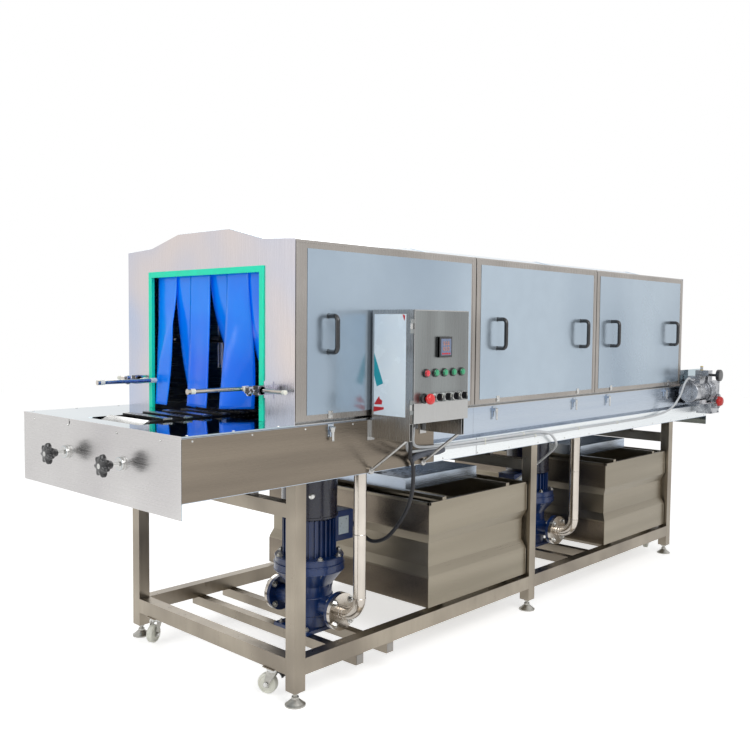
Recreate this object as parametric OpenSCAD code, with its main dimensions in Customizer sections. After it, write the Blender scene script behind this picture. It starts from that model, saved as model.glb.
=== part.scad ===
// Tunnel washer for bins and crates. A slat chain carries each bin from the infeed
// table through a tunnel where two pumps spray it, and out at the far end.
// X runs along the machine from infeed to outfeed, the operator stands on the -Y side,
// Z is up from the floor. Modules are drawn with X = 0 at the tunnel's entrance face.

/* [Whole machine] */
// Length of the washing tunnel
tunnel_l = 3100; // [2900:20:3500]
// Width across the side panels
machine_w = 1060; // [1030:10:1140]
// Height of the table top above the floor
table_z = 1007; // [990:1:1060]
// Height of the tunnel wall, from the table to the shoulder
wall_h = 642; // [610:1:700]
// Length of the infeed table
infeed_l = 460; // [430:1:560]
// Length of the outfeed table
outfeed_l = 400; // [380:1:500]
// Thickness of the sheet steel
sheet = 3; // [2:0.5:4]

/* [Roof] */
// Rise of the ridge above the shoulder
roof_rise = 55; // [20:1:90]
// Half width of the flat ridge
ridge_half = 162; // [100:1:220]
// Half width at the foot of the slope
slope_half = 353; // [300:1:420]
// Rise from the shoulder to the foot of the slope
shoulder_rise = 8; // [4:1:14]

/* [Tunnel mouth] */
// Clear width between the rubber trims
mouth_w = 690; // [640:1:740]
// Clear height above the table
mouth_h = 533; // [480:1:560]
// Width of the rubber trim
trim_w = 23; // [16:1:30]
// How far the trim stands out of the face
trim_t = 6; // [4:0.5:10]
// Width of one curtain strip
strip_w = 130; // [110:1:150]
// Thickness of a curtain strip
strip_t = 3; // [2:0.5:4]
// Gap between the curtain and the slats
strip_gap = 22; // [12:1:60]

/* [Frame] */
// Width of the square legs
leg_w = 50; // [40:1:56]
// Distance of the first legs behind the entrance face
leg_start = 10; // [5:1:60]
// Distance of the last legs before the exit face
leg_end = 80; // [40:1:140]
// Height of the levelling feet
foot_h = 52; // [44:1:70]
// Diameter of a foot disc
foot_d = 75; // [60:1:90]
// Diameter of a foot screw
foot_screw_d = 16; // [12:1:20]
// Height of the lower rails above the leg's end
rail_lift = 58; // [50:1:80]
// Height of a lower rail
rail_h = 60; // [50:1:70]
// Wall of the square tubes
tube_wall = 3; // [2:0.5:4]
// Top of the upper cross rails below the table top
cross_drop = 282; // [276:1:290]
// Size of the small cross beams
beam_w = 40; // [36:1:46]

/* [Side panels] */
// Height of the side panels
skirt_h = 210; // [190:1:230]
// Height of the front and end plates
front_h = 262; // [255:1:280]
// Length of the flat side panel behind the entrance face
flat_l = 760; // [720:1:820]
// Height of the lower band
band_h = 77; // [70:1:90]
// Depth of the step above the band
band_step = 18; // [12:1:24]
// Place of the seam in the lower band
seam_x = 1051; // [950:1:1200]

/* [Doors] */
// Thickness of a door
door_t = 25; // [22:1:30]
// Gap between two doors
door_gap = 6; // [5:0.5:10]
// Gap between the table and the door's lower edge
door_lift = 10; // [8:1:20]
// Diameter of the rod that the doors hang on
hang_d = 12; // [10:1:14]
// Distance between a door's handles
handle_pitch = 714; // [600:1:780]
// Length of a handle
handle_l = 146; // [120:1:180]
// Distance of the grip in front of the door
handle_out = 48; // [40:1:60]
// Diameter of the handle bar
handle_d = 18; // [12:1:22]
// Height of the handle's middle above the table
handle_z = 315; // [280:1:350]
// Distance between a door's latches
latch_pitch = 690; // [600:1:760]
// Length of a latch lever
latch_l = 46; // [38:1:56]

/* [Conveyor] */
// Pitch radius of the chain wheels
wheel_r = 92; // [88:1:100]
// Teeth of a chain wheel
wheel_teeth = 16; // [12:4:20]
// Distance between the two chains
chain_gap = 240; // [200:1:260]
// Half height of the chain's side plates
link_half = 12; // [10:0.5:14]
// Width of a slat along the chain
slat_w = 40; // [30:1:50]
// Height of the slats above the chain's side plates
slat_t = 6; // [4:0.5:8]
// Height of the slats above the table
slat_proud = 11; // [6:1:14]
// Slot in the tables for the conveyor
slot_w = 340; // [320:1:360]
// Distance of the idler shaft behind the front plate
idler_in = 170; // [150:1:190]
// Distance of the drive shaft before the end plate
drive_in = 140; // [136:1:160]
// Diameter of both shafts
shaft_d = 30; // [25:1:35]

/* [Drive] */
// Diameter of the drive motor
motor_d = 118; // [100:1:126]
// Length of the drive motor with its fan cover
motor_l = 165; // [140:1:190]
// Height of the motor above the drive shaft
worm_c = 68; // [62:1:80]
// Distance of the motor's axis from the side panel
motor_out = 70; // [68:1:90]

/* [Pumps] */
// First pump behind the entrance face
pump_1_x = 423; // [405:1:440]
// Second pump behind the middle legs
pump_2_in = 498; // [480:1:520]
// Pump axis, toward the operator from the middle
pump_y = 149; // [120:1:180]
// Half of the distance between the pump's pipe flanges
pump_half = 183; // [175:1:200]
// Height of the pipe flanges above the pump's foot
pump_port_z = 100; // [96:1:110]
// Diameter of the pipe flanges
flange_d = 150; // [140:1:160]
// Thickness of a pipe flange
flange_t = 16; // [14:1:20]
// Outside diameter of the pipes
pipe_d = 50; // [42:1:54]
// Bend radius of the elbows
bend_r = 76; // [60:1:80]
// Diameter of the pump motors
pump_motor_d = 224; // [210:1:230]
// Diameter of the motor's foot flange
bell_d = 290; // [270:1:296]
// How much shorter the second pump's motor is
pump_2_short = 60; // [56:1:66]

/* [Tanks] */
// Length of a tank
tank_l = 720; // [680:1:722]
// Gap between a tank and the leg behind it
tank_leg_gap = 8; // [6:1:12]
// Width of the tanks
tank_w = 1020; // [960:1:1040]
// Height of the tanks
tank_h = 440; // [400:1:450]
// Wall of the tanks
tank_wall = 3; // [2:0.5:4]
// Height of the tank floor above the lower rails
tank_lift = 12; // [8:1:16]
// Depth of the pressed band round the tank
tank_press = 15; // [8:1:20]
// Length of a filter tray
tray_l = 512; // [440:1:560]
// Width of a filter tray
tray_w = 626; // [560:1:700]
// Height of a filter tray
tray_h = 55; // [40:1:57]

/* [Control box] */
// Place of the box behind the entrance face
box_x = 374; // [360:1:385]
// Width of the box
box_w = 320; // [312:1:330]
// Depth of the box
box_d = 200; // [180:1:240]
// Height of the box
box_h = 412; // [400:1:440]
// Gap between the box and the doors
box_gap = 15; // [12:1:30]
// Height of the bracket arms under the box
arm_h = 65; // [50:1:70]
// Diameter of the emergency stop's head
stop_d = 40; // [36:1:44]

/* [Guides and knobs] */
// Distance of a guide rail from the middle
guide_y = 299; // [280:1:305]
// Length of a guide rail
guide_l = 250; // [200:1:280]
// Height of the guide rails above the table
guide_z = 116; // [100:1:140]
// Diameter of a guide rail
guide_d = 16; // [14:1:18]
// Distance of a star knob from the middle
knob_y = 189; // [186:1:200]
// Depth of the star knobs below the table
knob_drop = 121; // [110:1:125]
// Diameter of a star knob
knob_d = 76; // [66:1:84]

/* [Castors] */
// Diameter of a castor wheel
castor_d = 75; // [68:1:78]
// Width of a castor wheel
castor_w = 26; // [22:1:30]
// Distance of the castors from the middle
castor_y = 385; // [340:1:400]

/* [Hidden] */

$fn = 48;
steel = [0.78, 0.76, 0.73];
bright = [0.86, 0.86, 0.86];
film = [0.72, 0.80, 0.87];
black = [0.07, 0.07, 0.08];
blue = [0.06, 0.20, 0.45];
dark_blue = [0.03, 0.06, 0.16];

// Clearances: a running fit on the radius, a loose fit, between welded pieces, and between sheets
run_fit = 0.06;
loose = 0.4;
weld_gap = 0.3;
seam = 1;
eps = 1;

// Heights
half_w = machine_w / 2;
shoulder_z = table_z + wall_h;
ridge_z = shoulder_z + roof_rise;
skirt_z = table_z - skirt_h;
front_z = table_z - front_h;
band_z = skirt_z + band_h;
ledge_z = band_z + 12;
plate_z = table_z - sheet;
mouth_z = table_z + mouth_h;

// Frame: legs stand just inside the side panels
leg_y = half_w - sheet - leg_w;
leg_mid_y = leg_y + leg_w / 2;
leg_last_x = tunnel_l - leg_end - leg_w;
leg_xs = [leg_start, (leg_start + leg_last_x) / 2, leg_last_x];
rail_z = foot_h + rail_lift;
rail_top = rail_z + rail_h;
leg_top = band_z - 4;
cross_top = table_z - cross_drop;
side_rail_z = skirt_z + 23;

// Ends of the tables, and the shafts
infeed_x = -infeed_l;
outfeed_x = tunnel_l + outfeed_l;
idler_x = infeed_x + idler_in;
drive_x = outfeed_x - drive_in;
slat_r = wheel_r + link_half + slat_t;
shaft_z = table_z + slat_proud - slat_r;
knob_z = table_z - knob_drop;
chain_y = chain_gap / 2;

// Doors hang on a rod inside their rolled top edge
door_pitch = tunnel_l / 3;
door_z = table_z + door_lift;
hang_y = -half_w + door_t / 2;
hang_z = shoulder_z - door_t / 2;
door_skin = 2;
frame_y = -half_w + door_t + 6;
frame_t = 25;
frame_w = 40;
lift_off = 30;

// Latches stand on the side panel, which steps back behind its flat part
latch_z = table_z - 22;
latch_out = 10;
latch_w = 18;
latch_pin_r = 3;
function latch_x(i) = door_pitch * (floor(i / 2) + 0.5) + (i % 2 - 0.5) * latch_pitch;
function panel_y(x) = x < flat_l ? -half_w : -half_w + band_step;

// Pumps and pipes
pump_base_1 = rail_z;
pump_base_2 = rail_top;
pump_2_x = leg_xs[1] + leg_w + pump_2_in;
pump_face_y = -pump_y - pump_half;
riser_y = pump_face_y - flange_t - 16 - bend_r;
arch_z = ridge_z - 114;
suction_y = -pump_y + pump_half + flange_t + 10 + bend_r;

// Tanks end just before the legs
tank_xs = [leg_xs[1] - tank_leg_gap - tank_l, leg_xs[2] - tank_leg_gap - tank_l];
tank_z = rail_top + tank_lift;
tank_top = tank_z + tank_h;
rack_t = 15;
tray_x_in = 74;
tray_z = tank_top + rack_t;

// Control box
box_back = -half_w - box_gap;
box_front = box_back - box_d;
box_z = plate_z - 4;
door_plate = 4;
panel_y0 = box_front - door_plate;
hinge_x = box_x - 7;
hinge_y = box_front + 2;
stop_out = 41;

// Castors: the pads sit under the end rails
castor_xs = [leg_xs[0] + leg_w / 2, leg_xs[2] + leg_w / 2];
castor_turn = [[115, 205], [20, 150]];
castor_trail = 24;
pad_t = 4;
castor_top = rail_z - pad_t;
castor_z = 7 + castor_d / 2;

// Middle of the whole machine, which the model is centred on
knob_out = 88;
take_up_out = 50;
take_up_y = half_w - 40;
take_up_z = skirt_z + 20;
take_up_r = 8;
x_mid = (infeed_x - knob_out + outfeed_x + take_up_out) / 2;
y_mid = (panel_y0 - stop_out + leg_mid_y + foot_d / 2) / 2;

module centred() translate([-x_mid, -y_mid, 0]) children();

// Box given by its low and high corners
module block(a, b) translate(a) cube(b - a);

// Square tube along one axis (0, 1 or 2), open at both ends
module tube(a, b, axis, wall = tube_wall) {
    open = [for (i = [0:2]) i == axis ? -eps : wall];
    difference() {
        block(a, b);
        block(a + open, b - open);
    }
}

// Round bar between two points along X, Y or Z
module bar_x(x0, x1, y, z, r) translate([x0, y, z]) rotate([0, 90, 0]) cylinder(h = x1 - x0, r = r);
module bar_y(x, y0, y1, z, r) translate([x, y0, z]) rotate([-90, 0, 0]) cylinder(h = y1 - y0, r = r);
module bar_z(x, y, z0, z1, r) translate([x, y, z0]) cylinder(h = z1 - z0, r = r);

// Profile drawn in the Y-Z plane and run along X
module along_x(x0, x1) translate([x0, 0, 0]) rotate([90, 0, 90]) linear_extrude(x1 - x0) children();

// Profile drawn in the X-Z plane and run along Y
module along_y(y0, y1) translate([0, y1, 0]) rotate([90, 0, 0]) linear_extrude(y1 - y0) children();

module both_sides() {
    children();
    mirror([0, 1, 0]) children();
}

module legs() color(steel) centred() both_sides() for (x = leg_xs) {
    tube([x, leg_y, foot_h], [x + leg_w, leg_y + leg_w, leg_top], 2);
    difference() {
        block([x + tube_wall, leg_y + tube_wall, foot_h],
            [x + leg_w - tube_wall, leg_y + leg_w - tube_wall, foot_h + 8]);
        bar_z(x + leg_w / 2, leg_mid_y, foot_h - eps, foot_h + 9, foot_screw_d / 2 + loose);
    }
}

// Lower rails between the legs, cross rails at each pair of legs, and rails under the panels
module frame_rails() color(steel) centred() {
    both_sides() for (i = [0, 1]) {
        x0 = leg_xs[i] + leg_w;
        tube([x0, leg_y, rail_z], [leg_xs[i + 1], leg_y + leg_w, rail_top], 0);
        tube([x0, leg_y, side_rail_z], [leg_xs[i + 1], leg_y + leg_w, leg_top], 0);
    }
    for (x = leg_xs) {
        tube([x, -leg_y, rail_z], [x + leg_w, leg_y, rail_top], 1);
        tube([x, -leg_y, cross_top - leg_w], [x + leg_w, leg_y, cross_top], 1);
    }
}

// Cross beams under the pumps and tanks, and the castor pads with their pins
module cross_beams() color(steel) centred() {
    for (dx = [-85, 85]) {
        tube([pump_1_x + dx - beam_w / 2, -leg_y - leg_w, rail_z - beam_w],
            [pump_1_x + dx + beam_w / 2, leg_y + leg_w, rail_z], 1);
        tube([pump_2_x + dx - beam_w / 2, -leg_y, rail_top - beam_w],
            [pump_2_x + dx + beam_w / 2, leg_y, rail_top], 1);
    }
    for (x = tank_xs, dx = [100, tank_l - 100 - beam_w])
        tube([x + dx, -leg_y, tank_z - beam_w], [x + dx + beam_w, leg_y, tank_z], 1);
    both_sides() for (x = castor_xs) {
        block([x - 30, castor_y - 30, castor_top], [x + 30, castor_y + 30, rail_z]);
        bar_z(x, castor_y, castor_top - 9, castor_top + eps, 5);
    }
}

module levelling_feet() color(bright) centred() both_sides() for (x = leg_xs)
    translate([x + leg_w / 2, leg_mid_y, 0]) {
        rotate_extrude() polygon([[0, 0], [foot_d / 2, 0], [foot_d / 2, 5], [foot_d / 2 - 6, 9],
            [foot_screw_d / 2 + 6, 24], [foot_screw_d / 2 + 5, 32], [0, 32]]);
        cylinder(h = foot_h + 30, r = foot_screw_d / 2);
        translate([0, 0, foot_h - 9]) cylinder(h = 9, r = foot_screw_d / 2 + 6, $fn = 6);
    }

// Side panels with a stepped band beyond the flat part, and the latch bases
module side_profile() polygon([[half_w - 22, skirt_z], [half_w, skirt_z], [half_w, band_z],
    [half_w - band_step, ledge_z], [half_w - band_step, plate_z],
    [half_w - band_step - sheet, plate_z], [half_w - band_step - sheet, ledge_z - sheet / 2],
    [half_w - sheet, band_z - sheet / 2], [half_w - sheet, skirt_z + sheet],
    [half_w - 22, skirt_z + sheet]]);

module flat_profile() polygon([[half_w - 22, skirt_z], [half_w, skirt_z], [half_w, plate_z],
    [half_w - sheet, plate_z], [half_w - sheet, skirt_z + sheet], [half_w - 22, skirt_z + sheet]]);

module latch_base(x, y) {
    block([x - 14, y - 4, latch_z - 32], [x + 14, y, latch_z + 14]);
    for (s = [-1, 1]) block([x + s * (latch_w / 2 + 1.75) - 1.25, y - latch_out - 4.5, latch_z - 5],
        [x + s * (latch_w / 2 + 1.75) + 1.25, y - 3, latch_z + 5]);
    bar_x(x - latch_w / 2 - 3, x + latch_w / 2 + 3, y - latch_out, latch_z, latch_pin_r);
}

module side_skirts() color(steel) centred() difference() {
    union() {
        both_sides() {
            along_x(infeed_x + sheet, flat_l - seam) flat_profile();
            along_x(flat_l, seam_x - seam) side_profile();
            along_x(seam_x, outfeed_x - sheet) side_profile();
        }
        for (i = [0:5]) latch_base(latch_x(i), panel_y(latch_x(i)));
    }
    bar_y(drive_x, -half_w - eps, -half_w + 40, shaft_z, shaft_d / 2 + 5);
    both_sides() for (x = leg_xs) block([x - seam, half_w - 22 - eps, skirt_z - eps],
        [x + leg_w + seam, half_w - sheet, skirt_z + sheet]);
}

// Table with a slot for the conveyor, open toward the tunnel, with turned-down slot edges
module slotted_table(x_end, x_slot, x_open) {
    x_low = min(x_end, x_open);
    x_high = max(x_end, x_open);
    slot_low = min(x_slot, x_open);
    slot_high = max(x_slot, x_open);
    difference() {
        block([x_low, -half_w, plate_z], [x_high, half_w, table_z]);
        block([slot_low - (x_open < x_slot ? eps : 0), -slot_w / 2, plate_z - eps],
            [slot_high + (x_open > x_slot ? eps : 0), slot_w / 2, table_z + eps]);
    }
    both_sides() block([slot_low, slot_w / 2, plate_z - 14], [slot_high, slot_w / 2 + sheet, table_z]);
}

module table_plates() color(bright) centred() {
    slotted_table(infeed_x, infeed_x + 70, 0);
    slotted_table(outfeed_x, outfeed_x - 8, tunnel_l);
    difference() {
        block([outfeed_x - sheet, -half_w, front_z], [outfeed_x, half_w, plate_z]);
        both_sides() bar_x(outfeed_x - sheet - eps, outfeed_x + eps, take_up_y, take_up_z, take_up_r + 0.5);
    }
    difference() {
        union() {
            block([infeed_x, -half_w, front_z], [infeed_x + sheet, half_w, plate_z]);
            both_sides() bar_x(infeed_x - 15, infeed_x + sheet, knob_y, knob_z, 22);
        }
        both_sides() bar_x(infeed_x - 16, infeed_x + sheet + eps, knob_y, knob_z, 8 + run_fit);
    }
    // Guards along the outfeed
    both_sides() block([tunnel_l + 2, half_w - sheet, plate_z], [outfeed_x - 100, half_w, table_z + 95]);
}

// Frame behind the doors, with the rod that the doors hang on
module door_frame() color(steel) centred() {
    x1 = tunnel_l - sheet;
    block([sheet, frame_y, plate_z], [x1, frame_y + frame_t, plate_z + 30]);
    block([sheet, -half_w, plate_z], [x1, frame_y + eps, plate_z + sheet]);
    block([sheet, frame_y, shoulder_z - sheet - frame_w], [x1, frame_y + frame_t, shoulder_z - sheet]);
    for (i = [0:3]) {
        x = min(max(i * door_pitch - frame_w / 2, sheet), x1 - frame_w);
        block([x, frame_y, plate_z], [x + frame_w, frame_y + frame_t, shoulder_z - sheet]);
    }
    for (i = [1, 2]) block([i * door_pitch - 2, hang_y - 8, hang_z - 26],
        [i * door_pitch + 2, frame_y + eps, hang_z + 8]);
    bar_x(sheet, x1, hang_y, hang_z, hang_d / 2);
}

// Roof sheet and far wall
module roof_line(drop) polygon([
    [hang_y + door_t / 2 + seam, shoulder_z - drop], [-slope_half, shoulder_z + shoulder_rise - drop],
    [-ridge_half, ridge_z - drop], [ridge_half, ridge_z - drop],
    [slope_half, shoulder_z + shoulder_rise - drop], [half_w, shoulder_z - drop],
    [half_w, shoulder_z - 60], [hang_y + door_t / 2 + seam, shoulder_z - 60]]);

module tunnel_cover() color(bright) centred() {
    along_x(sheet, tunnel_l - sheet) difference() {
        roof_line(0);
        roof_line(sheet);
    }
    block([sheet, half_w - sheet, plate_z], [tunnel_l - sheet, half_w, shoulder_z - sheet]);
    for (i = [1:5]) block([i * tunnel_l / 6 - 20, half_w - 20, plate_z + 30],
        [i * tunnel_l / 6 + 20, half_w - sheet, shoulder_z - sheet]);
}

// End faces with the mouth, the curtain's clamp rail and the guide clamps
module face_outline() polygon([[-half_w, plate_z], [-half_w, shoulder_z],
    [-slope_half, shoulder_z + shoulder_rise], [-ridge_half, ridge_z], [ridge_half, ridge_z],
    [slope_half, shoulder_z + shoulder_rise], [half_w, shoulder_z], [half_w, plate_z]]);

rod_x = -45;
rod_d = 14;
clamp_y = mouth_w / 2 + 50;

module end_face() {
    along_x(0, sheet) difference() {
        face_outline();
        translate([-mouth_w / 2 - 8, plate_z - eps]) square([mouth_w + 16, mouth_h + 8 + sheet + eps]);
    }
    // Clamp rail for the curtain, joined outside the strips
    block([sheet, -mouth_w / 2 - 8, mouth_z + 14], [24, mouth_w / 2 + 8, mouth_z + 44]);
    block([42, -mouth_w / 2 - 8, mouth_z + 14], [47, mouth_w / 2 + 8, mouth_z + 44]);
    both_sides() block([23, mouth_w / 2 + 1, mouth_z + 14], [43, mouth_w / 2 + 8, mouth_z + 44]);
}

module guide_clamp() difference() {
    union() {
        block([-3, clamp_y - 25, table_z + guide_z - 30], [0, clamp_y + 25, table_z + guide_z + 30]);
        block([rod_x - 16, clamp_y - 15, table_z + guide_z - 16], [-2, clamp_y + 15, table_z + guide_z + 16]);
        bar_x(rod_x - 38, rod_x - 15, clamp_y, table_z + guide_z, 5);
        translate([rod_x - 52, clamp_y, table_z + guide_z]) rotate([0, 90, 0]) star(18, 5, 16);
    }
    bar_y(rod_x, clamp_y - 16, clamp_y + 16, table_z + guide_z, rod_d / 2 + run_fit);
}

module end_faces() color(steel) centred() {
    end_face();
    translate([tunnel_l, 0, 0]) mirror([1, 0, 0]) end_face();
    both_sides() guide_clamp();
}

// Rubber trims gripping the edges of both mouths
module mouth_frame(x0, x1, outer) {
    inner = mouth_w / 2;
    along_x(x0, x1) difference() {
        translate([-inner - outer, table_z]) square([2 * (inner + outer), mouth_h + outer]);
        translate([-inner, table_z - eps]) square([2 * inner, mouth_h + eps]);
    }
}

module mouth_trim() {
    mouth_frame(-trim_t, 0, trim_w);
    mouth_frame(0, sheet, 7.5);
    mouth_frame(sheet, sheet + trim_t, trim_w - 10);
}

module opening_trims() color([0.05, 0.72, 0.62]) centred() {
    mouth_trim();
    translate([tunnel_l, 0, 0]) mirror([1, 0, 0]) mouth_trim();
}

// Trough under the conveyor and sloping floors beside it
trough_half = 300;
trough_lift = 31;
trough_z = cross_top + trough_lift;
chute_xs = [for (x = tank_xs) x + tray_x_in + tray_l / 2];

module drain_trough() color(steel) centred() {
    x1 = tunnel_l - 20;
    floor_top = trough_z + sheet;
    difference() {
        block([20, -trough_half, trough_z], [x1, trough_half, floor_top]);
        for (x = chute_xs) block([x - 150, -120, trough_z - eps], [x + 150, 120, floor_top + eps]);
    }
    both_sides() {
        block([20, trough_half - sheet, floor_top + weld_gap], [x1, trough_half, plate_z - 44]);
        block([20, trough_half - eps, plate_z - 44 - sheet], [x1, trough_half + 20, plate_z - 44]);
        // Pads on the cross rails
        for (x = leg_xs) block([x + 12, trough_half - 60, cross_top],
            [x + leg_w - 12, trough_half - 20, trough_z - weld_gap]);
    }
    inner = trough_half - sheet - weld_gap;
    for (x = [20, x1 - sheet]) block([x, -inner, floor_top + weld_gap], [x + sheet, inner, floor_top + 20]);
    for (x = chute_xs)
        tube([x - 153, -123, tray_z + tray_h + 4], [x + 153, 123, trough_z - weld_gap], 2, sheet);
    difference() {
        both_sides() along_x(sheet, tunnel_l - sheet) polygon([[half_w - 31 + sheet, plate_z],
            [trough_half - 30, plate_z - 14], [trough_half - 30, plate_z - 14 - sheet],
            [half_w - 31 + sheet, plate_z - sheet]]);
        for (x = [pump_1_x, pump_2_x]) bar_z(x, riser_y, plate_z - 40, plate_z + 9, pipe_d / 2 + 2);
    }
}

// Overlapping strips that hang in the two mouths, in two layers
strip_count = floor(mouth_w / (strip_w - 15));
strip_pitch = (mouth_w - 6 - strip_w) / (strip_count - 1);

module strip_curtains() color([0.02, 0.30, 0.95]) centred()
    for (end = [0, 1], i = [0:strip_count - 1]) {
        x = 26 + (i % 2) * 8;
        x0 = end == 0 ? x : tunnel_l - x - strip_t;
        y0 = -mouth_w / 2 + 3 + i * strip_pitch;
        block([x0, y0, table_z + slat_proud + strip_gap], [x0 + strip_t, y0 + strip_w, mouth_z + 42]);
    }

// Side plates, ties, wear strips and bearings that carry the chain
plate_y = slot_w / 2 + sheet + 12;
tie_r = 10;
screw_end = 48;

module bearing_block(x, half) block([x - half, plate_y + 4, shaft_z - 45],
    [x + half, plate_y + 35, shaft_z + 30]);

module conveyor_frame() color(steel) centred() {
    difference() {
        both_sides() {
            block([idler_x - screw_end, plate_y, shaft_z - 45], [drive_x + 90, plate_y + 5, plate_z - 18]);
            bearing_block(idler_x, 30);
            bearing_block(drive_x, 38);
        }
        for (x = [idler_x, drive_x]) bar_y(x, -plate_y - 40, plate_y + 40, shaft_z, shaft_d / 2 + run_fit);
    }
    count = round((drive_x - idler_x) / 600);
    step = (drive_x - idler_x - 300) / count;
    for (i = [0:count])
        bar_y(idler_x + 150 + i * step, -plate_y + weld_gap, plate_y - weld_gap, shaft_z + 25, tie_r);
    // Wear strips under the upper run and under the return run
    both_sides() {
        block([idler_x + 140, chain_y - 8, shaft_z + 25 + tie_r + weld_gap],
            [drive_x - 140, chain_y + 8, shaft_z + wheel_r - link_half - 0.5]);
        block([30, chain_y - 60, trough_z + sheet], [tunnel_l - 30, chain_y - 44, shaft_z - slat_r - 3]);
        // Take-up rods at the outfeed
        bar_x(drive_x + 60, outfeed_x + take_up_out, take_up_y, take_up_z, take_up_r);
        block([outfeed_x - sheet - 30, take_up_y - 15, take_up_z - 17],
            [outfeed_x - sheet, take_up_y + 15, take_up_z + 16]);
    }
}

// Chain loops round both wheels, with slats at an even pitch
run_l = drive_x - idler_x;
loop_l = 2 * run_l + 2 * PI * wheel_r;
slat_count = round(loop_l / 86);

module race_track(r) {
    translate([idler_x, shaft_z]) circle(r, $fn = 96);
    translate([drive_x, shaft_z]) circle(r, $fn = 96);
    translate([idler_x, shaft_z - r]) square([run_l, 2 * r]);
}

module slat() block([-slat_w / 2, -chain_y - 14, wheel_r + link_half - 1],
    [slat_w / 2, chain_y + 14, slat_r]);

// Place children at a distance s along the loop, from the idler's top
module on_loop(s) {
    arc = PI * wheel_r;
    if (s < run_l) translate([idler_x + s, 0, shaft_z]) children();
    else if (s < run_l + arc)
        translate([drive_x, 0, shaft_z]) rotate([0, (s - run_l) / arc * 180, 0]) children();
    else if (s < 2 * run_l + arc)
        translate([drive_x - (s - run_l - arc), 0, shaft_z]) rotate([0, 180, 0]) children();
    else translate([idler_x, 0, shaft_z])
        rotate([0, 180 + (s - 2 * run_l - arc) / arc * 180, 0]) children();
}

// The loop is parted at both shafts, into two runs and two turns
module conveyor_chain() color([0.35, 0.35, 0.36]) centred() difference() {
    whole_chain();
    for (x = [idler_x, drive_x]) block([x - weld_gap / 2, -chain_y - 20, shaft_z - slat_r - eps],
        [x + weld_gap / 2, chain_y + 20, shaft_z + slat_r + eps]);
}

module whole_chain() {
    for (side = [-1, 1], layer = [-1, 1]) {
        y = side * chain_y + layer * 7;
        along_y(y - 1.5, y + 1.5) difference() {
            race_track(wheel_r + link_half);
            race_track(wheel_r - link_half);
        }
    }
    for (i = [0:slat_count - 1]) on_loop((i + 0.5) * loop_l / slat_count) slat();
}

// Chain wheel whose teeth run between the side plates
module chain_wheel() rotate([90, 0, 0]) linear_extrude(8, center = true) polygon([
    for (i = [0:wheel_teeth - 1], k = [0:3])
        let (a = 360 / wheel_teeth * (i + [-0.32, -0.1, 0.1, 0.32][k]),
            r = wheel_r + [-9, 6, 6, -9][k]) [r * cos(a), r * sin(a)]]);

module wheel_shaft(x, y0, y1) translate([x, 0, shaft_z]) {
    rotate([-90, 0, 0]) translate([0, 0, y0]) cylinder(h = y1 - y0, r = shaft_d / 2);
    for (y = [-chain_y, chain_y]) translate([0, y, 0]) {
        chain_wheel();
        rotate([90, 0, 0]) cylinder(h = 36, r = shaft_d / 2 + 12, center = true);
    }
}

module drive_shaft() color(bright) centred() wheel_shaft(drive_x, -gear_front + 8, plate_y + 45);
module idler_shaft() color(bright) centred() wheel_shaft(idler_x, -plate_y - 33, plate_y + 33);

// Gear unit beside the outfeed: motor along X, worm gear on the drive shaft
motor_y = -half_w - motor_out;
motor_z = shaft_z + worm_c;
gear_half = 62;
gear_back = half_w + 12;
gear_front = half_w + 132;
fan_x = drive_x - gear_half - 75 - motor_l;
speed_x = drive_x - gear_half - 30;
speed_z = motor_z + motor_d / 2 + 37;

module gearmotor() color([0.62, 0.63, 0.65]) centred() difference() {
    union() {
        // Worm gear housing with its output boss
        block([drive_x - gear_half, -gear_front + 22, shaft_z - worm_c - 8],
            [drive_x + gear_half, -gear_back - 8, motor_z + 58]);
        bar_y(drive_x, -gear_front, -gear_back, shaft_z, 46);
        bar_x(drive_x + gear_half - eps, drive_x + gear_half + 14, motor_y, motor_z, 34);
        bar_z(speed_x - 26, motor_y, motor_z + 120, motor_z + 146, 8);
        // Variator, motor and fan cover
        bar_x(drive_x - gear_half - 75, drive_x - gear_half + eps, motor_y, motor_z, motor_d / 2 + 14);
        block([speed_x - 38, motor_y - 46, motor_z + 40], [speed_x + 24, motor_y + 34, speed_z + 28]);
        bar_x(fan_x + 45, drive_x - gear_half - 74, motor_y, motor_z, motor_d / 2 - 5);
        difference() {
            bar_x(fan_x, fan_x + 60, motor_y, motor_z, motor_d / 2);
            bar_x(fan_x - eps, fan_x + 40, motor_y, motor_z, motor_d / 2 - 4);
        }
        translate([fan_x + 3, motor_y, motor_z]) rotate([0, 90, 0]) linear_extrude(4) difference() {
            circle(motor_d / 2 - 3);
            for (r = [20, 40], a = [0:30:330]) rotate(a) translate([r, 0]) circle(r / 8 + 1);
        }
        block([fan_x + 70, motor_y - 38, motor_z + motor_d / 2 - 12],
            [fan_x + 150, motor_y + 38, motor_z + motor_d / 2 + 30]);
        // Foot and the shelf that takes the torque
        block([fan_x + 60, motor_y - 45, motor_z - motor_d / 2 - 12],
            [drive_x - gear_half - 80, motor_y + 45, motor_z - motor_d / 2 + 8]);
        block([fan_x + 40, motor_y - 50, motor_z - motor_d / 2 - 17],
            [drive_x - gear_half - 2, -half_w + band_step, motor_z - motor_d / 2 - 12]);
    }
    bar_y(drive_x, -gear_front - eps, -gear_back + eps, shaft_z, shaft_d / 2 + run_fit);
    bar_y(speed_x, motor_y - 47, motor_y, speed_z, 8 + run_fit);
}

module speed_handwheel() color(black) centred() translate([speed_x, motor_y, speed_z]) {
    bar_y(0, -90, -5, 0, 8);
    difference() {
        bar_y(0, -108, -88, 0, 34);
        for (a = [0:120:240]) rotate([0, a, 0]) bar_y(20, -109, -87, 0, 8);
    }
}

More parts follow.
